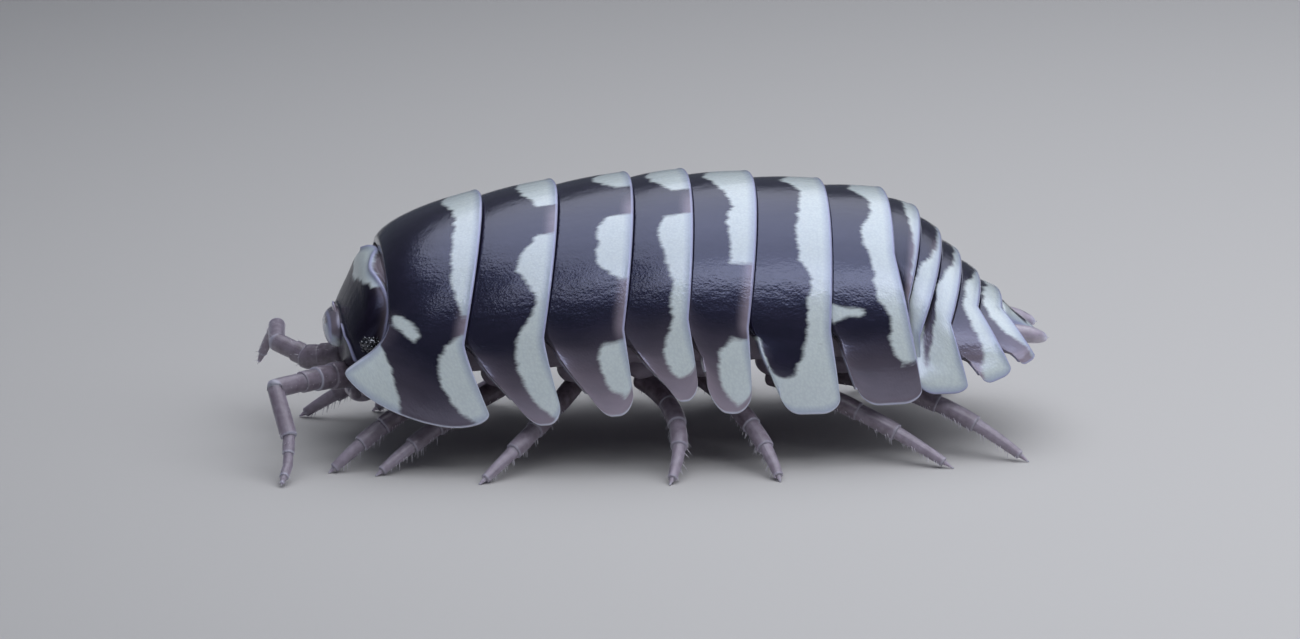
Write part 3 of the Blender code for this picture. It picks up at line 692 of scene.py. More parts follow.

# %% [markdown]
# ## Zebra chitin
#
# The horn of the shields is black-brown pigment under a clear, polished wax layer. Four
# things show through it: near-black where the pigment is thick, grey violet where the
# plate is thin, bone white in the marks, and a pale lilac line along the free edges. The
# grey violet of the thin plates is partly the horn's own colour and partly painted light,
# for light shining through them. A clear coat over a rougher base gives the deep gloss:
# its typical index is 1.5. The base stands for many thin layers of horn that mirror more
# together than one, so its index is set above plain horn's 1.56 and its mirror image is
# tinted blue. It scatters a little light below its face, so the white looks like
# porcelain and not like paint.

# %% Shield finish
def zebra_chitin(name, coat, coat_roughness, index):
    """Polished black and white horn, clear at its thin edges."""
    material, tree, output = new_material(name)
    white = stored(tree, "white")
    clear = stored(tree, "clear")
    edge = stored(tree, "edge")
    lie = stored(tree, "lie", "Vector")

    # Pigment ends in soft, uneven fringes that run forwards
    fringe = add_node(tree, "ShaderNodeVectorMath", {0: lie, 1: (0.9, 3.4, 9.0)}, operation="MULTIPLY")
    ragged = add_node(tree, "ShaderNodeTexNoise", {
        "Vector": fringe.outputs[0], "Scale": 1.0, "Detail": 6.0, "Roughness": 0.68,
    })
    offset = reckon(tree, "SUBTRACT", ragged.outputs["Fac"], 0.5)
    depth = reckon(tree, "MULTIPLY_ADD", offset, 0.40, white)
    mark = add_node(
        tree, "ShaderNodeMapRange", {"Value": depth, "From Min": -0.085, "From Max": 0.065},
        interpolation_type="SMOOTHSTEP",
    )

    # Faint streaks in the dark pigment
    streaks = add_node(tree, "ShaderNodeVectorMath", {0: lie, 1: (0.9, 2.6, 5.0)}, operation="MULTIPLY")
    cloud = add_node(tree, "ShaderNodeTexNoise", {
        "Vector": streaks.outputs[0], "Scale": 1.0, "Detail": 5.0,
    })
    dark = mix_colours(tree, cloud.outputs["Fac"], linear("#0c0911"), linear("#262030"))
    uneven = reckon(tree, "MULTIPLY_ADD", cloud.outputs["Fac"], 0.55, 0.72)
    # Grey violet where the horn is thin: partly its own colour, partly painted light shining through
    thin_and_backlit = reckon(tree, "MULTIPLY", clear, uneven, use_clamp=True)
    horn = mix_colours(tree, thin_and_backlit, dark, linear("#ab9ea8"))

    # Bone white, bluer close to the rim, with a scale-like grain about 0.06 mm across
    rim_near = add_node(tree, "ShaderNodeMapRange", {"Value": edge, "From Min": 0.05, "From Max": 0.26})
    bone = mix_colours(tree, rim_near.outputs[0], linear("#b2bdce"), linear("#dde7e5"))
    grain = add_node(tree, "ShaderNodeTexVoronoi", {"Vector": lie, "Scale": 16.0})
    speck = add_node(tree, "ShaderNodeMapRange", {
        "Value": grain.outputs["Distance"], "From Min": 0.25, "From Max": 0.8, "To Max": 0.16,
    })
    speckled = mix_colours(tree, speck.outputs[0], bone, linear("#9ba6b3"))
    banded = mix_colours(tree, mark.outputs[0], horn, speckled)

    # The pale line along every free edge, lilac high up and nearly white on the plates
    place = add_node(tree, "ShaderNodeSeparateXYZ", {0: lie})
    down = reckon(tree, "ABSOLUTE", place.outputs["Y"])
    low = add_node(tree, "ShaderNodeMapRange", {"Value": down, "From Min": 5.5, "From Max": 7.5})
    pale = mix_colours(tree, low.outputs[0], linear("#aeb0d2"), linear("#e4e8f6"))
    line = add_node(
        tree, "ShaderNodeMapRange", {"Value": edge, "From Min": 0.09, "From Max": 0.035, "To Max": 0.8},
        interpolation_type="SMOOTHSTEP",
    )
    colour = mix_colours(tree, line.outputs[0], banded, pale)

    # The same grain as a fine relief, and a slow unevenness of the wax
    drawn = add_node(tree, "ShaderNodeVectorMath", {0: lie, 1: (1.7, 2.9, 5.0)}, operation="MULTIPLY")
    wax = add_node(tree, "ShaderNodeTexNoise", {
        "Vector": drawn.outputs[0], "Scale": 1.0, "Detail": 5.0, "Roughness": 0.6,
    })
    relief = add_node(tree, "ShaderNodeBump", {
        "Height": grain.outputs["Distance"], "Strength": 0.5, "Distance": 5.0e-6,
    })
    waxed = add_node(
        tree, "ShaderNodeBump",
        {"Height": wax.outputs["Fac"], "Strength": 0.6, "Distance": 2.3e-5, "Normal": relief.outputs[0]},
    )
    cover(tree, output, {
        "Base Color": colour, "Roughness": 0.26, "IOR": index, "Normal": waxed.outputs[0],
        "Specular Tint": linear("#a8b6f4"), "Coat Weight": coat, "Coat Roughness": coat_roughness,
        "Coat IOR": 1.5, "Coat Normal": waxed.outputs[0],
        "Subsurface Weight": 0.22, "Subsurface Radius": (1.0, 0.9, 0.8), "Subsurface Scale": 2.0e-4,
    })
    return material


horn = zebra_chitin("zebra chitin", 0.85, 0.12, 1.75)
face_horn = zebra_chitin("face chitin", 0.15, 0.2, 1.38)
print("finishes:", horn.name, "and", face_horn.name)


# %% [markdown]
# ## The twelve shields
#
# Both halves are joined over the back, so that the gloss runs over the middle unbroken.

# %% Shields
def make_shield(index):
    """One whole shield from its left plate over the back to its right one."""
    halves = []
    arc = float(steps_along(rim_points(RIMS[index], FLANK_SHARES, 1.0)[:, None], 0)[-1, 0])
    for side in SIDE_WORDS:
        outer, inner, to_rear, to_edge, to_front = shield_faces_of(index, side)
        around = steps_along(outer, 0)
        down = np.broadcast_to(FLANK_SHARES[:, None] * arc, to_rear.shape)
        # The first shield's front edge, next to the head, has no pale line high up
        hidden = 0.4 * (1.0 - smooth((FLANK_SHARES[:, None] - 0.62) / 0.1))
        halves.append({
            "outer": outer,
            "inner": inner,
            "white": mark_depth(index, side, to_rear, arc),
            "clear": clearness_and_backlight(index, to_rear, around, to_front),
            "edge": to_edge if index else np.minimum(to_edge + hidden, np.minimum(to_rear, 1.0)),
            "lie": np.stack([to_rear, side * down, np.full(to_rear.shape, float(index))], -1),
        })
    whole = {key: np.concatenate([halves[0][key][::-1], halves[1][key][1:]]) for key in halves[0]}
    rows, columns = whole["edge"].shape
    points = np.concatenate([whole.pop("outer").reshape(-1, 3), whole.pop("inner").reshape(-1, 3)])
    values = {}
    for key, data in whole.items():
        flat = data.reshape(rows * columns, -1)
        flat = np.concatenate([flat, flat])
        values[key] = flat if flat.shape[1] == 3 else flat[:, 0]
    points, faces, values = compact(points, shell_faces(rows, columns), values)
    name = RIMS[index].name
    return add_piece("shield_" + name, points, faces, horn, [name], values)


shields = [make_shield(index) for index in range(len(RIMS))]
print("shields:", len(shields))

# %% [markdown]
# ## The head
#
# The head is a blunt wedge, built from cross-sections like the solid one but with many
# more of them. A thin raised ridge runs round its back like the rim of a helmet. It lies
# furthest back two thirds of the way down the side. A white band leans against the
# ridge over the crown, and the face in front of it is black and glossy. A second, lower
# ridge runs from the small brow shield down past the eye.

# %% Head sizes
HEAD_SECTIONS = [
    (-6.45, 2.05, 2.50, 4.95), (-6.74, 2.26, 2.28, 5.04), (-7.02, 2.37, 2.08, 5.10),
    (-7.22, 2.43, 1.98, 5.05), (-7.44, 2.45, 1.96, 4.80), (-7.62, 2.38, 2.00, 4.38),
    (-7.82, 2.18, 2.12, 3.96), (-7.96, 1.84, 2.30, 3.68), (-8.02, 1.50, 2.46, 3.62),
    (-8.05, 1.00, 2.70, 3.40), (-8.06, 0.40, 2.95, 3.15), (-8.06, 0.02, 3.04, 3.06),
]
BROW_SECTIONS = [
    (-7.90, 0.90, 2.76, 3.50), (-8.04, 0.98, 2.66, 3.60), (-8.18, 0.95, 2.67, 3.57),
    (-8.30, 0.82, 2.76, 3.46), (-8.38, 0.54, 2.90, 3.30), (-8.41, 0.02, 3.08, 3.10),
]
HEAD_ROUNDNESS = 2.0 / 2.3
HEAD_ROWS = 150
HEAD_SIDES = 200
# Lines round the head: degrees down from the crown, and where the line lies there
RIDGE_LINE = [(0.0, -7.02), (26.0, -7.28), (66.0, -6.96), (90.0, -7.02), (112.0, -7.30)]
BROW_LINE = [(36.0, -8.03), (70.0, -7.97), (108.0, -7.76)]
BAND_FRONT_LINE = [(0.0, -7.62), (30.0, -7.49), (47.0, -7.31), (58.0, -6.88)]
RIDGE_HEIGHT = 0.07
BROW_HEIGHT = 0.07
BROW_ROLL = 0.065


def oval_loops(sections, sides, roundness):
    """Cross-sections square to the body, a little squarer than an oval."""
    turn = np.linspace(0.0, 2.0 * math.pi, sides, endpoint=False)[None, :]
    x, half_width, low, high = (column[:, None] for column in sections.T)
    y = np.copysign(np.abs(np.sin(turn)) ** roundness, np.sin(turn)) * half_width
    z = np.copysign(np.abs(np.cos(turn)) ** roundness, np.cos(turn)) * (high - low) / 2.0
    return np.stack([x + 0.0 * y, y, (low + high) / 2.0 + z], -1)


def ridge_x(turn):
    """Where the helmet ridge crosses each side angle, in degrees down from the crown."""
    curve = smooth_rows(RIDGE_LINE, 80)
    return np.interp(turn, curve[:, 0], curve[:, 1])


def arc_at(x, loops):
    """For every side angle, how far along the skin the given x is met."""
    arcs = steps_along(loops, 0)
    return np.array([np.interp(-x[k], -loops[:, k, 0], arcs[:, k]) for k in range(loops.shape[1])]), arcs


def make_head():
    """The head with its helmet ridge, its brow line and the white band on the crown."""
    loops = oval_loops(smooth_rows(HEAD_SECTIONS, HEAD_ROWS), HEAD_SIDES, HEAD_ROUNDNESS)
    turn = np.degrees(np.linspace(0.0, 2.0 * math.pi, HEAD_SIDES, endpoint=False))
    turn = np.minimum(turn, 360.0 - turn)
    ridge, arcs = arc_at(ridge_x(turn), loops)
    brow, _ = arc_at(np.interp(turn, *zip(*BROW_LINE)), loops)
    band_front, _ = arc_at(np.interp(turn, *zip(*BAND_FRONT_LINE)), loops)
    on_ridge = 1.0 - smooth((turn - 100.0) / 16.0)
    on_brow = smooth((turn - 42.0) / 8.0) * (1.0 - smooth((turn - 104.0) / 10.0))
    past_ridge = arcs - ridge
    past_brow = arcs - brow
    on_side = lerp(0.6, 1.0, smooth(turn / 40.0))
    roll = lerp(0.09, 0.05, smooth(turn / 50.0))
    hollow = 0.9 * np.exp(-((past_ridge + 0.16) / 0.08) ** 2)
    height = RIDGE_HEIGHT * on_side * on_ridge * (np.exp(-(past_ridge / roll) ** 2) - hollow)
    height += BROW_HEIGHT * on_brow * np.exp(-(past_brow / BROW_ROLL) ** 2)
    normal = -grid_normals(loops)
    points = loops + normal * height[..., None]
    in_band = np.where(turn < 60.0, np.minimum(band_front - arcs, past_ridge + 0.06), -1.0)
    far_ridge = np.where(on_ridge > 0.5, np.abs(past_ridge), 1.0)
    far_brow = np.where(on_brow > 0.5, np.abs(past_brow), 1.0)
    behind = smooth(-past_ridge / 0.25)
    round_way = np.radians(turn) * 2.3
    values = {
        "white": in_band.ravel(),
        "clear": (0.55 * behind + 0.35 * on_ridge * np.exp(-(past_ridge / 0.16) ** 2)).ravel(),
        "edge": (np.minimum(far_ridge, far_brow) + 0.01).ravel(),
        "lie": np.stack([arcs, round_way + 0.0 * arcs, np.full(arcs.shape, 20.0)], -1).reshape(-1, 3),
    }
    return add_piece("head", points, closed_tube(points), face_horn, ["head"], values)


make_head()


# %% [markdown]
# ## Brow shield, eyes and mouthparts
#
# A small rounded shield stands out between the feelers. Its upper half is clear and its
# lower half milky, with a thin upright blade on its top edge. Each eye is a patch of
# about twenty single lenses, black under a clear, dense coat, so that each one carries
# its own point of light. The mouthparts are small pale plates that fold over each other.

# %% Brow shield
def make_brow_shield():
    """The small rounded shield between the feelers, milky below and clear above."""
    loops = oval_loops(smooth_rows(BROW_SECTIONS, 60), 96, HEAD_ROUNDNESS)
    arcs = steps_along(loops, 0)
    low = 3.16 - loops[..., 2] - 0.8 * (loops[..., 0] + 8.22) + 0.06 * np.sin(9.0 * loops[..., 1])
    front = np.abs(loops[..., 0] + 8.30)
    values = {
        "white": low.ravel(),
        "clear": np.full(low.size, 0.45),
        "edge": (front + 0.03).ravel(),
        "lie": np.stack([arcs, loops[..., 1], np.full(arcs.shape, 24.0)], -1).reshape(-1, 3),
    }
    return add_piece("brow_shield", loops, closed_tube(loops), horn, [], values)


def make_brow_blade():
    """The thin upright blade on the brow shield's top edge."""
    share = np.linspace(0.0, 1.0, 14)
    centres = np.stack([-8.09 - 0.08 * share, 0.0 * share, 3.50 + 0.26 * share], -1)
    loops = tube_loops(centres, 0.34 * np.sqrt(1.0 - share ** 2) + 0.004, 28)
    loops[..., 0] = centres[:, None, 0] + (loops[..., 0] - centres[:, None, 0]) * 0.12
    values = {"white": np.full(loops[..., 0].size, -0.2), "clear": np.full(loops[..., 0].size, 0.9)}
    values["edge"] = np.repeat(0.35 * (1.0 - share), 28)
    values["lie"] = loops.reshape(-1, 3)
    return add_piece("brow_blade", loops, closed_tube(loops), horn, [], values)


make_brow_shield()
make_brow_blade()


# %% Eye finish
def lens_black():
    """Black lens of the eye with a hard, dense surface, so each lens has a bright point."""
    material, tree, output = new_material("black lens")
    cover(tree, output, {
        "Base Color": linear("#040405"), "Roughness": 0.05, "IOR": 1.6, "Specular Tint": linear("#d4deff"),
        "Coat Weight": 1.0, "Coat Roughness": 0.03, "Coat IOR": 1.8,
    })
    return material


black_lens = lens_black()

# %% Eyes
EYE_CENTRE = np.array([-7.41, 2.35, 3.19])
EYE_RADII = np.array([0.30, 0.21, 0.25])
LENS_RADIUS = 0.052
LENS_ROWS = (4, 5, 5, 4)
# As shares of the eye's radii: its dark mound, where the lenses sit, how far up the
# outer rows lie, the step from lens to lens and the shift from row to row
MOUND_SHARE = 0.86
LENS_SEAT = 0.84
ROW_REACH = 0.75
LENS_STEP = 0.42
ROW_SHIFT = 0.06


def ball_loops(centre, radii, rings, sides):
    """An oval ball as loops from one pole to the other, the poles along x."""
    tilt = np.linspace(0.02, math.pi - 0.02, rings)[:, None]
    turn = np.linspace(0.0, 2.0 * math.pi, sides, endpoint=False)[None, :]
    x = -np.cos(tilt) + 0.0 * turn
    unit = np.stack([x, np.sin(tilt) * np.sin(turn), np.sin(tilt) * np.cos(turn)], -1)
    return np.asarray(centre) + unit * np.asarray(radii)


def make_eye(side, word):
    """A dark oval mound with rows of bead lenses on its outer half."""
    mirror = np.array([1.0, side, 1.0])
    parts = [(ball_loops(EYE_CENTRE * mirror, EYE_RADII * MOUND_SHARE, 20, 32), {})]
    for row, count in enumerate(LENS_ROWS):
        height = lerp(-ROW_REACH, ROW_REACH, row / (len(LENS_ROWS) - 1.0))
        for k in range(count):
            along = (k - (count - 1) / 2.0) * LENS_STEP + (ROW_SHIFT if row % 2 else -ROW_SHIFT)
            out = math.sqrt(max(0.04, 1.0 - height ** 2 - along ** 2))
            spot = EYE_CENTRE + EYE_RADII * LENS_SEAT * np.array([along, out, height])
            parts.append((ball_loops(spot * mirror, np.full(3, LENS_RADIUS), 12, 16), {}))
    points, faces, _ = joined(parts)
    return add_piece("eye_" + word, points, faces, black_lens, ["eye_" + word])


for side, word in SIDE_WORDS.items():
    make_eye(side, word)


# %% [markdown]
# ## Soft horn of the limbs
#
# Feelers and legs are thin-walled tubes of horn. Light goes some way into them, so they
# look like frosted glass with a grey-violet core, paler towards the tips. On the legs the
# darker joints near the body are partly painted shade, the shade under the shields.
# Every joint ends in a milky ring, where the horn is folded over.

# %% Limb finish
def frosted_horn():
    """Thin, light-scattering horn with milky joint rings."""
    material, tree, output = new_material("frosted horn")
    tone_and_shade = stored(tree, "tone_and_shade")
    ring = stored(tree, "ring")
    place = add_node(tree, "ShaderNodeTexCoord").outputs["Object"]

    # Cloudy patches of about 0.2 mm, and fine flutes that run along each joint
    cloud = add_node(tree, "ShaderNodeTexNoise", {"Vector": place, "Scale": 5000.0, "Detail": 4.0})
    uneven = reckon(tree, "MULTIPLY_ADD", cloud.outputs["Fac"], 0.9, -0.45)
    share = reckon(tree, "ADD", tone_and_shade, uneven, use_clamp=True)
    # Dark to pale by the stored tone; on the legs the dark upper joints are partly painted shade, the shade
    # under the shields
    flesh_and_shade = mix_colours(tree, share, linear("#5a4c55"), linear("#b6acbb"))
    colour = mix_colours(tree, ring, flesh_and_shade, linear("#d5d6ea"))
    lie = stored(tree, "lie", "Vector")
    flutes = add_node(tree, "ShaderNodeVectorMath", {0: lie, 1: (1.5, 5.0, 5.0)}, operation="MULTIPLY")
    fluted = add_node(tree, "ShaderNodeTexNoise", {
        "Vector": flutes.outputs[0], "Scale": 1.0, "Detail": 3.0,
    })
    relief = add_node(tree, "ShaderNodeBump", {
        "Height": fluted.outputs["Fac"], "Strength": 0.6, "Distance": 1.6e-5,
    })
    cover(tree, output, {
        "Base Color": colour, "Roughness": 0.38, "IOR": 1.45, "Normal": relief.outputs[0],
        "Coat Weight": 0.5, "Coat Roughness": 0.2, "Coat IOR": 1.45,
        "Subsurface Weight": 0.5, "Subsurface Radius": (1.0, 0.85, 0.95), "Subsurface Scale": 2.5e-4,
        "Sheen Weight": 0.35, "Sheen Roughness": 0.35, "Sheen Tint": linear("#cdc9e4"),
        "Transmission Weight": 0.12,
    })
    return material


def bristle_horn():
    """Fine pale bristles, glossy along their length."""
    material, tree, output = new_material("bristle horn")
    cover(tree, output, {
        "Base Color": linear("#d9d4df"), "Roughness": 0.35, "IOR": 1.5, "Subsurface Weight": 0.3,
        "Subsurface Radius": (1.0, 1.0, 1.0), "Subsurface Scale": 5.0e-5,
    })
    return material


frosted = frosted_horn()
bristle = bristle_horn()

# %% One joint of a limb
ARTICLE_RINGS = 30
ARTICLE_SIDES = 26
RING_WIDTH = 0.035


def article(curve, start, end, radius_start, radius_end, tone_and_shade, swell=0.04, ring=0.6):
    """A closed joint of a limb between two shares of its curve, with a collar at its end."""
    share = (1.0 - np.cos(np.linspace(0.0, math.pi, ARTICLE_RINGS))) / 2.0
    centres = np.array([curve(lerp(start, end, t)) for t in share])
    along = steps_along(centres[:, None], 0)[:, 0]
    to_end = along[-1] - along
    round_start = np.sqrt(1.0 - np.clip(1.0 - along / (0.5 * radius_start), 0.0, 1.0) ** 2)
    round_end = np.sqrt(1.0 - np.clip(1.0 - to_end / (0.20 * radius_end), 0.0, 1.0) ** 2)
    collar = np.exp(-((to_end - 0.9 * RING_WIDTH) / RING_WIDTH) ** 2)
    radii = 1.0 + swell * np.sin(math.pi * share ** 1.5) + 0.03 * collar
    radii = lerp(radius_start, radius_end, share) * radii * np.maximum(round_start * round_end, 0.02)
    around = np.arange(ARTICLE_SIDES) * 2.0 * math.pi / ARTICLE_SIDES
    lie = np.stack(np.broadcast_arrays(along[:, None], np.sin(around), np.cos(around)), -1)
    values = {"tone_and_shade": tone_and_shade + 0.0 * share, "ring": ring * collar, "lie": lie}
    return tube_loops(centres, radii, ARTICLE_SIDES), values


# %% Bristles
BRISTLE_SIDES = 4
BRISTLE_RADIUS = 0.008
LEG_BRISTLE_RADIUS = 0.012
all_bristles = []


def add_bristle(root, direction, length, radius):
    """One tapered bristle, a little curved, kept for the shared bristle mesh."""
    direction = np.asarray(direction, float) / np.linalg.norm(direction)
    share = np.linspace(0.0, 1.0, 5)[:, None]
    sag = np.array([0.0, 0.0, -0.12 * length]) * share ** 2
    centres = np.asarray(root) + direction * length * share + sag
    radii = radius * (1.0 - 0.85 * share[:, 0])
    all_bristles.append((tube_loops(centres, radii, BRISTLE_SIDES), {}))


# %% [markdown]
# ## Feelers
#
# The second feelers are stout and bent at the elbow: five joints of a stalk and a whip
# of two. The left one lies low, with its tip on the floor in front of the head, and the
# right one is raised. The stalk joints widen to their far ends.

# %% Feelers
FEELER_LEFT = [
    (-7.78, -1.00, 2.12), (-8.66, -1.52, 2.13), (-9.83, -2.35, 2.10),
    (-9.56, -3.22, 1.04), (-9.64, -3.75, 0.42), (-9.84, -4.32, 0.11),
]
FEELER_RIGHT = [
    (-7.78, 1.00, 2.10), (-8.68, 1.54, 1.98), (-9.42, 2.30, 2.22),
    (-9.32, 3.42, 2.40), (-9.50, 3.86, 1.96), (-9.74, 4.20, 1.26),
]
# Each joint: start and end along the bent line, and the radius at both ends
FEELER_JOINTS = [
    (-0.10, 0.66, 0.34, 0.34), (0.52, 1.10, 0.30, 0.31), (1.00, 1.42, 0.265, 0.27),
    (1.30, 2.03, 0.235, 0.235), (1.93, 3.02, 0.205, 0.215), (2.90, 3.62, 0.155, 0.15),
    (3.54, 4.66, 0.13, 0.115), (4.58, 5.0, 0.095, 0.045),
]


def make_feeler(word, line, rng):
    """One second feeler along its bent line, with its fine bristles."""
    line = np.asarray(line)

    def curve(place):
        index = min(max(int(place), 0), 4)
        return lerp(line[index], line[index + 1], place - index)

    parts = []
    for number, (start, end, radius_start, radius_end) in enumerate(FEELER_JOINTS):
        tone_and_shade = 0.28 + 0.07 * number
        ring = 0.15 if number in (0, 2) else 0.6
        parts.append(article(curve, start, end, radius_start, radius_end, tone_and_shade, ring=ring))
        for _ in range(12 if number < 7 else 5):
            share = rng.uniform(0.25, 1.0)
            centre = curve(lerp(start, end, share))
            ahead = curve(lerp(start, end, min(share + 0.2, 1.2))) - centre
            ahead = ahead / max(np.linalg.norm(ahead), 1e-6)
            out = rng.normal(size=3)
            out -= ahead * out.dot(ahead)
            out /= np.linalg.norm(out)
            radius = lerp(radius_start, radius_end, share)
            length = rng.uniform(0.06, 0.13)
            add_bristle(centre + out * radius * 0.95, out + 0.9 * ahead, length, BRISTLE_RADIUS)
    tip = line[-1]
    for _ in range(3):
        add_bristle(tip, (line[-1] - line[-2]) + rng.normal(scale=0.08, size=3), 0.10, BRISTLE_RADIUS)
    points, faces, values = joined(parts)
    return add_piece("antenna_" + word, points, faces, frosted, ["antenna_" + word], values)


rng = np.random.default_rng(11)
make_feeler("left", FEELER_LEFT, rng)
make_feeler("right", FEELER_RIGHT, rng)

# %% [markdown]
# ## Legs
#
# All seven pairs are built the same way. Each leg follows one smooth bend through its
# knee, cut into four joints that end in a pale claw on the floor. Short stiff bristles
# stand along each joint, mostly towards the lower side.

# %% Legs
Leg = namedtuple("Leg", "foot_x foot_y knee_x knee_y knee_z right_dx right_dy")
LEGS = [
    Leg(-8.55, 3.00, -7.05, 2.45, 1.25, -0.23, 0.15),
    Leg(-7.40, 3.45, -5.70, 2.65, 1.22, 0.55, 0.10),
    Leg(-4.90, 4.65, -3.10, 3.20, 1.18, 0.45, -0.10),
    Leg(-0.15, 5.30, 0.78, 3.55, 1.42, -0.75, -0.15),
    Leg(2.66, 5.30, 2.35, 3.60, 1.25, 0.60, -0.10),
    Leg(7.20, 4.45, 4.75, 3.10, 1.58, -0.55, 0.10),
    Leg(9.20, 4.00, 7.00, 2.80, 1.75, -0.45, 0.05),
]
# Each joint: start and end along the leg, and the radius at both ends
LEG_JOINTS = [
    (-0.04, 0.31, 0.26, 0.235), (0.285, 0.52, 0.235, 0.24), (0.495, 0.72, 0.21, 0.215),
    (0.695, 0.955, 0.175, 0.12),
]
CLAW = (0.935, 1.0, 0.09, 0.016)
FLOOR_CLEARANCE = 0.03
LEG_ROOT_Y = 1.95
BRISTLES_PER_JOINT = 17


def leg_root(index, side):
    """The top of the leg, just under the belly."""
    _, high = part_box("leg_{}_{}".format("left" if side < 0.0 else "right", index + 1))
    return np.array([root_x(index), side * LEG_ROOT_Y, high[2] / MM])


def root_x(index):
    """How far back a leg starts: in the middle of its ring."""
    rim = RIMS[index]
    if index == 0:
        return ((rim.top_x + 0.3 * rim.waist_shift - 0.65) - 6.15) / 2.0
    before = RIMS[index - 1]
    return (rim.top_x + 0.3 * rim.waist_shift - 0.65 + before.top_x + 0.3 * before.waist_shift - 0.35) / 2.0


def make_leg(index, side, rng):
    """One leg on a smooth bend from the belly through its knee to the floor."""
    plan = LEGS[index]
    dx, dy = (plan.right_dx, plan.right_dy) if side > 0.0 else (0.0, 0.0)
    start = leg_root(index, side) - [0.0, 0.0, 0.20]
    foot = np.array([plan.foot_x + dx, side * (plan.foot_y + dy), 0.012])
    knee = np.array([plan.knee_x + dx / 2.0, side * (plan.knee_y + dy / 2.0), plan.knee_z])

    def curve(share):
        upper = lerp(start, knee, share)
        lower = lerp(knee, foot, share)
        point = lerp(upper, lower, share)
        point[2] = max(point[2], 0.20 * (1.0 - share) + FLOOR_CLEARANCE) if share < 1.0 else foot[2]
        return point

    parts = []
    for number, (a, b, radius_a, radius_b) in enumerate(LEG_JOINTS):
        # The joints darken towards the body: partly the leg's own tone, partly painted shade under the
        # shields
        parts.append(article(curve, a, b, radius_a, radius_b, 0.10 + 0.20 * number, ring=0.3))
        outward = np.array([0.0, side, 0.0])
        for k in range(BRISTLES_PER_JOINT):
            share = lerp(0.15, 0.97, (k + rng.uniform(0.0, 0.8)) / BRISTLES_PER_JOINT)
            centre = curve(lerp(a, b, share))
            ahead = curve(lerp(a, b, share) + 0.05) - centre
            ahead = ahead / max(np.linalg.norm(ahead), 1e-6)
            across = np.cross(ahead, [0.0, 0.0, 1.0]) * rng.choice([-1.0, 1.0])
            out = across * rng.uniform(0.2, 1.0)
            out = out - np.array([0.0, 0.0, rng.uniform(0.3, 1.0)]) + 0.2 * outward
            out -= ahead * out.dot(ahead)
            out /= max(np.linalg.norm(out), 1e-6)
            radius = lerp(radius_a, radius_b, share)
            length = rng.uniform(0.09, 0.20) * (1.2 if number > 1 else 0.8)
            length = min(length, max(0.04, 1.2 * (centre[2] - radius)))
            add_bristle(centre + out * radius * 0.92, out + 0.9 * ahead, length, LEG_BRISTLE_RADIUS)
    parts.append(article(curve, *CLAW, 0.95, 0.0))
    points, faces, values = joined(parts)
    name = "leg_{}_{}".format(SIDE_WORDS[side], index + 1)
    return add_piece(name, points, faces, frosted, [name], values)


for side in SIDE_WORDS:
    for index in range(len(LEGS)):
        make_leg(index, side, rng)

# %% [markdown]
# ## The soft belly
#
# Under the shields lies one soft body. It fills the arch, comes down to a flat belly
# with a low rib for each ring, and reaches each leg with a round hip. From the side only
# its shaded flank shows between the plates, but from below it closes the whole animal.

# %% Belly finish
def belly_skin():
    """Thin, pale, slightly wet skin between the horn parts."""
    material, tree, output = new_material("belly skin")
    place = add_node(tree, "ShaderNodeTexCoord").outputs["Object"]
    cloud = add_node(tree, "ShaderNodeTexNoise", {"Vector": place, "Scale": 1800.0, "Detail": 5.0})
    colour = mix_colours(tree, cloud.outputs["Fac"], linear("#5b5160"), linear("#a59ba8"))
    wrinkle = add_node(tree, "ShaderNodeTexNoise", {"Vector": place, "Scale": 12000.0, "Detail": 3.0})
    relief = add_node(tree, "ShaderNodeBump", {
        "Height": wrinkle.outputs["Fac"], "Strength": 0.6, "Distance": 1.5e-5,
    })
    cover(tree, output, {
        "Base Color": colour, "Roughness": 0.45, "IOR": 1.4, "Normal": relief.outputs[0],
        "Subsurface Weight": 0.4, "Subsurface Radius": (1.0, 0.8, 0.8), "Subsurface Scale": 3.0e-4,
    })
    return material


belly_material = belly_skin()

# %% Belly
BELLY_FRONT = -6.75
BELLY_REAR = 8.75
BELLY_ROWS = 150
BELLY_INSET = 0.62
BELLY_HALF_WIDTH = 2.45
HIP_RADII = (0.46, 0.52, 0.40)
RIB_HEIGHT = 0.05
FLAT_INSET = 1.15
GROOVE_INSET = 0.95


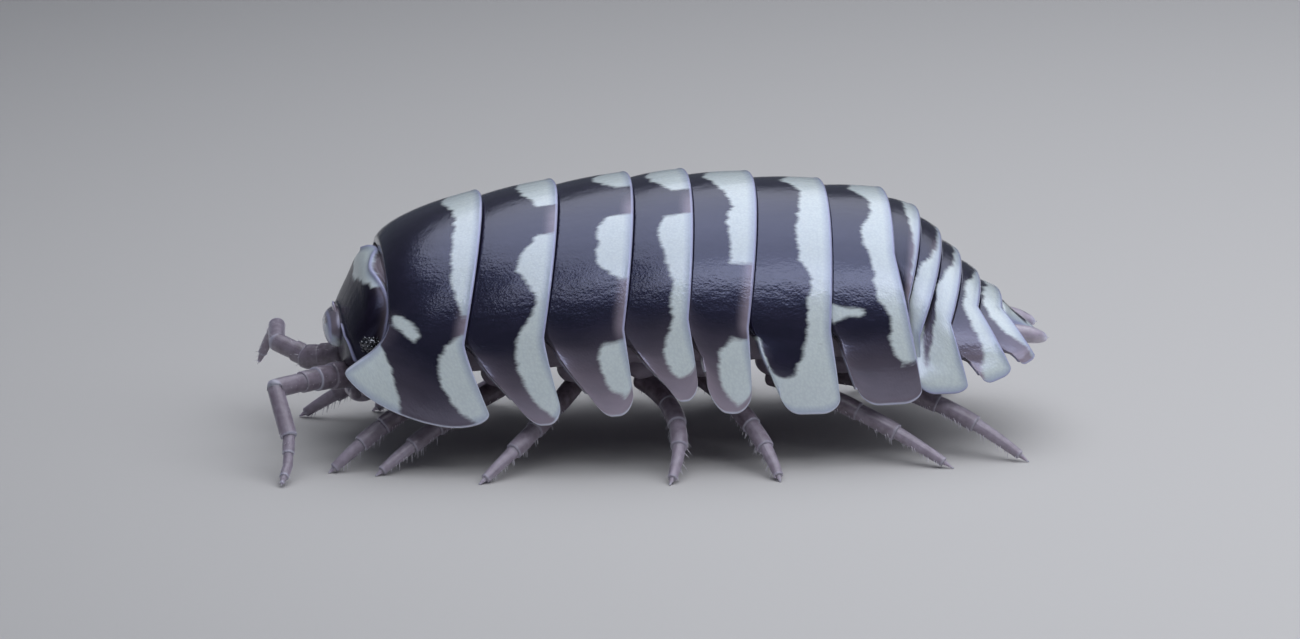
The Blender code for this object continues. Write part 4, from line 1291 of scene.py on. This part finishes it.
def belly_loops():
    """Cross-sections of the belly, arched above and flat below, with a rib for each ring."""
    edges = [FRONT_EDGE] + RIMS
    at = np.array([rim.top_x + 0.3 * rim.waist_shift for rim in edges])
    x = np.linspace(BELLY_FRONT, BELLY_REAR, BELLY_ROWS)
    half_width, top_z, tip_z, belly_z = (
        np.interp(x, at, [getattr(rim, key) for rim in edges])
        for key in ("half_width", "top_z", "tip_z", "belly_z")
    )
    arch = np.linspace(0.0, 0.70, 22) * math.pi / 2.0
    rib = np.interp(x, at, np.arange(len(at)))
    rib = RIB_HEIGHT * np.cos(2.0 * math.pi * rib)
    loops = []
    for k in range(BELLY_ROWS):
        side_y = (half_width[k] - BELLY_INSET) * np.sin(arch) ** ARCH_POWER
        side_z = tip_z[k] + (top_z[k] - BELLY_INSET - tip_z[k]) * np.cos(arch) ** ARCH_POWER
        low = belly_z[k] + rib[k]
        flat_y = min(BELLY_HALF_WIDTH, half_width[k] - FLAT_INSET)
        groove_y = half_width[k] - GROOVE_INSET
        under_y = np.concatenate([[groove_y], np.linspace(flat_y, 0.0, 9)])
        under_z = np.concatenate([[low + 0.40], [low + 0.08], np.full(8, low)])
        y = np.concatenate([side_y, under_y])
        z = np.concatenate([side_z, under_z])
        y = np.concatenate([y, -y[-2:0:-1]])
        z = np.concatenate([z, z[-2:0:-1]])
        near_end = min(k, BELLY_ROWS - 1 - k) / 8.0
        shrink = math.sqrt(1.0 - max(0.0, 1.0 - near_end) ** 2) + 0.02
        middle = (top_z[k] - BELLY_INSET + low) / 2.0
        loops.append(np.stack([np.full(y.shape, x[k]), y * shrink, middle + (z - middle) * shrink], -1))
    return np.array(loops)


def make_belly():
    """The belly with a round hip at the root of every leg."""
    parts = [(belly_loops(), {})]
    for index in range(len(LEGS)):
        for side in SIDE_WORDS:
            root = leg_root(index, side) + [0.0, side * 0.02, 0.24]
            parts.append((ball_loops(root, HIP_RADII, 18, 28), {}))
    points, faces, _ = joined(parts)
    return add_piece("belly", points, faces, belly_material)


make_belly()

# %% [markdown]
# ## Tail: flaps, end shield and tail blades
#
# Under the tail lie five pairs of breathing flaps, thin as paper and overlapping like
# tiles. The first two pairs carry chalk-white lungs. The short end shield is white with
# a dark middle. A flat blade fills the gap on each side, lilac with a pale outline.

# %% Tail finishes
def flap_skin():
    """Thin white flap, chalky where it holds a lung."""
    material, tree, output = new_material("flap skin")
    lung = stored(tree, "lung")
    colour = mix_colours(tree, lung, linear("#b6b0bd"), linear("#f2f3f0"))
    cover(tree, output, {
        "Base Color": colour, "Roughness": 0.4, "IOR": 1.4,
        "Subsurface Weight": 0.5, "Subsurface Radius": (1.0, 0.9, 0.9), "Subsurface Scale": 3.0e-4,
    })
    return material


flap_material = flap_skin()

# %% Breathing flaps
FLAP_COUNT = 5
FLAP_FRONT_X = 6.30
FLAP_REAR_X = 8.80
FLAP_TOP_Z = 2.30
FLAP_INNER_Y = 0.13
FLAP_OUTER_Y = (1.75, 1.25)
FLAP_HALF_THICKNESS = 0.11
LUNG_PAIRS = 2


def make_flaps(side, word):
    """Five overlapping oval flaps on one side."""
    parts = []
    length = (FLAP_REAR_X - FLAP_FRONT_X) / FLAP_COUNT
    for k in range(FLAP_COUNT):
        middle = FLAP_FRONT_X + length * (k + 0.55)
        outer = lerp(*FLAP_OUTER_Y, (k + 0.5) / FLAP_COUNT)
        centre = (middle, side * (FLAP_INNER_Y + outer) / 2.0, FLAP_TOP_Z - 0.20)
        radii = (length * 0.66, (outer - FLAP_INNER_Y) / 2.0, FLAP_HALF_THICKNESS)
        loops = ball_loops(centre, radii, 22, 36)
        loops[..., 2] -= 0.16 * (loops[..., 0] - middle) / length
        lung = np.full(22, 0.9 if k < LUNG_PAIRS else 0.15)
        parts.append((loops, {"lung": lung}))
    points, faces, values = joined(parts)
    name = "pleopods_" + word
    return add_piece(name, points, faces, flap_material, [name], values)


for side, word in SIDE_WORDS.items():
    make_flaps(side, word)

# %% End shield
TELSON_ROWS = [
    (8.98, 0.86, 3.30, 0.44), (9.12, 0.84, 3.36, 0.44), (9.33, 0.68, 3.16, 0.40),
    (9.55, 0.48, 2.97, 0.36), (9.77, 0.37, 2.79, 0.31), (9.93, 0.31, 2.64, 0.27), (9.985, 0.22, 2.59, 0.20),
]
TELSON_SIDES = 48


def make_telson():
    """A short shield with hollow sides and a blunt tip, domed across."""
    rows = smooth_rows(TELSON_ROWS, 60)
    turn = np.linspace(0.0, 2.0 * math.pi, TELSON_SIDES, endpoint=False)
    loops = []
    for x, half_width, top_z, thick in rows:
        y = half_width * np.copysign(np.abs(np.sin(turn)) ** 0.8, np.sin(turn))
        sag = 0.20 * (y / half_width) ** 2 * min(1.0, half_width)
        z = top_z - thick / 2.0 + thick / 2.0 * np.copysign(np.abs(np.cos(turn)) ** 0.7, np.cos(turn)) - sag
        loops.append(np.stack([np.full(TELSON_SIDES, x), y, z], -1))
    loops = np.array(loops)
    along = loops[..., 0]
    middle = 0.20 - np.abs(loops[..., 1]) * 0.8
    spine = np.minimum(middle, 9.74 - along)
    to_side = rows[:, None, 1] - np.abs(loops[..., 1])
    values = {
        "white": (-spine * 1.3).ravel(),
        "clear": np.full(along.size, 0.1),
        "edge": np.minimum(to_side + 0.02, 10.02 - along).ravel(),
        "lie": np.stack([along, loops[..., 1], np.full(along.shape, 30.0)], -1).reshape(-1, 3),
    }
    return add_piece("telson", loops, closed_tube(loops), horn, ["telson"], values)


make_telson()

# %% Tail blades
UROPOD_ROOT = np.array([9.20, 1.16, 2.76])
UROPOD_TIP = np.array([10.17, 0.92, 2.52])
UROPOD_ROWS = [
    (0.00, 0.13, 0.14), (0.08, 0.22, 0.20), (0.30, 0.26, 0.22), (0.60, 0.25, 0.21),
    (0.85, 0.17, 0.15), (0.96, 0.09, 0.09), (1.00, 0.012, 0.012),
]


def make_tail_blade(side, word):
    """One flat tail blade with a pale outline and a few bristles at its tip."""
    rows = smooth_rows(UROPOD_ROWS, 40)
    turn = np.linspace(0.0, 2.0 * math.pi, 40, endpoint=False)[None, :]
    centre = lerp(UROPOD_ROOT, UROPOD_TIP, rows[:, :1])
    y = side * (centre[:, 1:2] + rows[:, 1:2] * np.cos(turn))
    z = centre[:, 2:3] + rows[:, 2:3] * np.sin(turn)
    loops = np.stack([centre[:, :1] + 0.0 * turn, y, z], -1)
    tone_and_shade = 0.78 + 0.2 * rows[:, 0]
    ring = 0.9 * smooth((rows[:, 0] - 0.80) / 0.2)
    points, faces, values = joined([(loops, {"tone_and_shade": tone_and_shade, "ring": ring, "lie": loops})])
    for _ in range(5):
        direction = np.array([1.0, side * rng.normal(scale=0.3), rng.normal(scale=0.3)])
        add_bristle(centre[-2] * [1.0, side, 1.0], direction, 0.07, 0.006)
    return add_piece("uropod_" + word, points, faces, frosted, ["uropod_" + word], values)


for side, word in SIDE_WORDS.items():
    make_tail_blade(side, word)

# %% Mouthparts
def make_mouthparts():
    """Pale overlapping plates below the brow, a pair of palps and dark jaw tips."""
    parts = []
    for side in SIDE_WORDS:
        for place, radii, tone_and_shade in (
            ((-7.46, 0.33, 1.45), (0.36, 0.26, 0.24), 0.75),
            ((-7.30, 0.52, 1.52), (0.24, 0.22, 0.18), 0.55),
            ((-7.68, 0.22, 1.52), (0.20, 0.18, 0.20), 0.9),
            ((-7.62, 0.52, 1.50), (0.16, 0.13, 0.20), 0.45),
        ):
            loops = ball_loops(np.array(place) * [1.0, side, 1.0], radii, 16, 24)
            parts.append((loops, {"tone_and_shade": np.full(16, tone_and_shade), "ring": np.zeros(16), "lie": loops}))
    points, faces, values = joined(parts)
    return add_piece("mouthparts", points, faces, frosted, ["mouthparts"], values)


make_mouthparts()

# %% Bristle mesh
points, faces, _ = joined(all_bristles)
add_piece("bristles", points, faces, bristle)
print("bristles:", len(all_bristles))

# %% [markdown]
# ## Floor and light
#
# A plain pale floor and one very large soft light overhead. A polished dark surface
# shows only what it mirrors, so the broad grey-blue sheen on the upper flanks is the
# mirror image of that light, and its shape is set by the light's size and place. A
# narrow strip along the light's front edge lifts the white of the side plates. The
# lower flanks look towards the dim room and stay black.

# %% Floor
def plain_floor():
    """A matt pale board with a faint tooth."""
    material, tree, output = new_material("pale board")
    place = add_node(tree, "ShaderNodeTexCoord").outputs["Object"]
    tooth = add_node(tree, "ShaderNodeTexNoise", {"Vector": place, "Scale": 4000.0, "Detail": 4.0})
    relief = add_node(tree, "ShaderNodeBump", {
        "Height": tooth.outputs["Fac"], "Strength": 0.3, "Distance": 2.0e-5,
    })
    cover(tree, output, {
        "Base Color": linear("#c6c4c1"), "Roughness": 0.85, "IOR": 1.45, "Normal": relief.outputs[0],
    })
    return material


FLOOR_HALF = 0.6
floor_mesh = bpy.data.meshes.new("floor")
floor_mesh.from_pydata([
    (-FLOOR_HALF, -FLOOR_HALF, 0.0), (FLOOR_HALF, -FLOOR_HALF, 0.0),
    (FLOOR_HALF, FLOOR_HALF, 0.0), (-FLOOR_HALF, FLOOR_HALF, 0.0),
], [], [(0, 1, 2, 3)])
floor_mesh.materials.append(plain_floor())
floor = bpy.data.objects.new("floor", floor_mesh)
bpy.context.scene.collection.objects.link(floor)


# %% Lights
def soft_box(name, place_mm, target_mm, size_mm, watts, spread, colour):
    """An oval soft light at a place, turned to face a target."""
    data = bpy.data.lights.new(name, "AREA")
    data.shape = "ELLIPSE"
    data.size, data.size_y = (size * MM for size in size_mm)
    data.energy = watts
    data.spread = math.radians(spread)
    data.color = linear(colour)[:3]
    box = bpy.data.objects.new(name, data)
    place, target = Vector(place_mm), Vector(target_mm)
    box.location = place * MM
    box.rotation_euler = (target - place).to_track_quat("-Z", "Y").to_euler()
    bpy.context.scene.collection.objects.link(box)
    return box


soft_box("overhead", (34.0, 4.0, 62.0), (34.0, 4.001, 0.0), (134.0, 150.0), 0.0485, 130.0, "#f4f7ff")
soft_box("front strip", (42.0, -50.0, 61.0), (40.0, 0.0, 3.0), (150.0, 26.0), 0.0180, 180.0, "#f4f7ff")

world = bpy.data.worlds.new("dim room")
world.use_nodes = True
background = world.node_tree.nodes["Background"]
background.inputs["Color"].default_value = linear("#bcc6dc")
background.inputs["Strength"].default_value = 0.16
bpy.context.scene.world = world
bpy.context.scene.view_settings.view_transform = "Standard"
print("lights: one overhead, one strip in front, and the dim room")
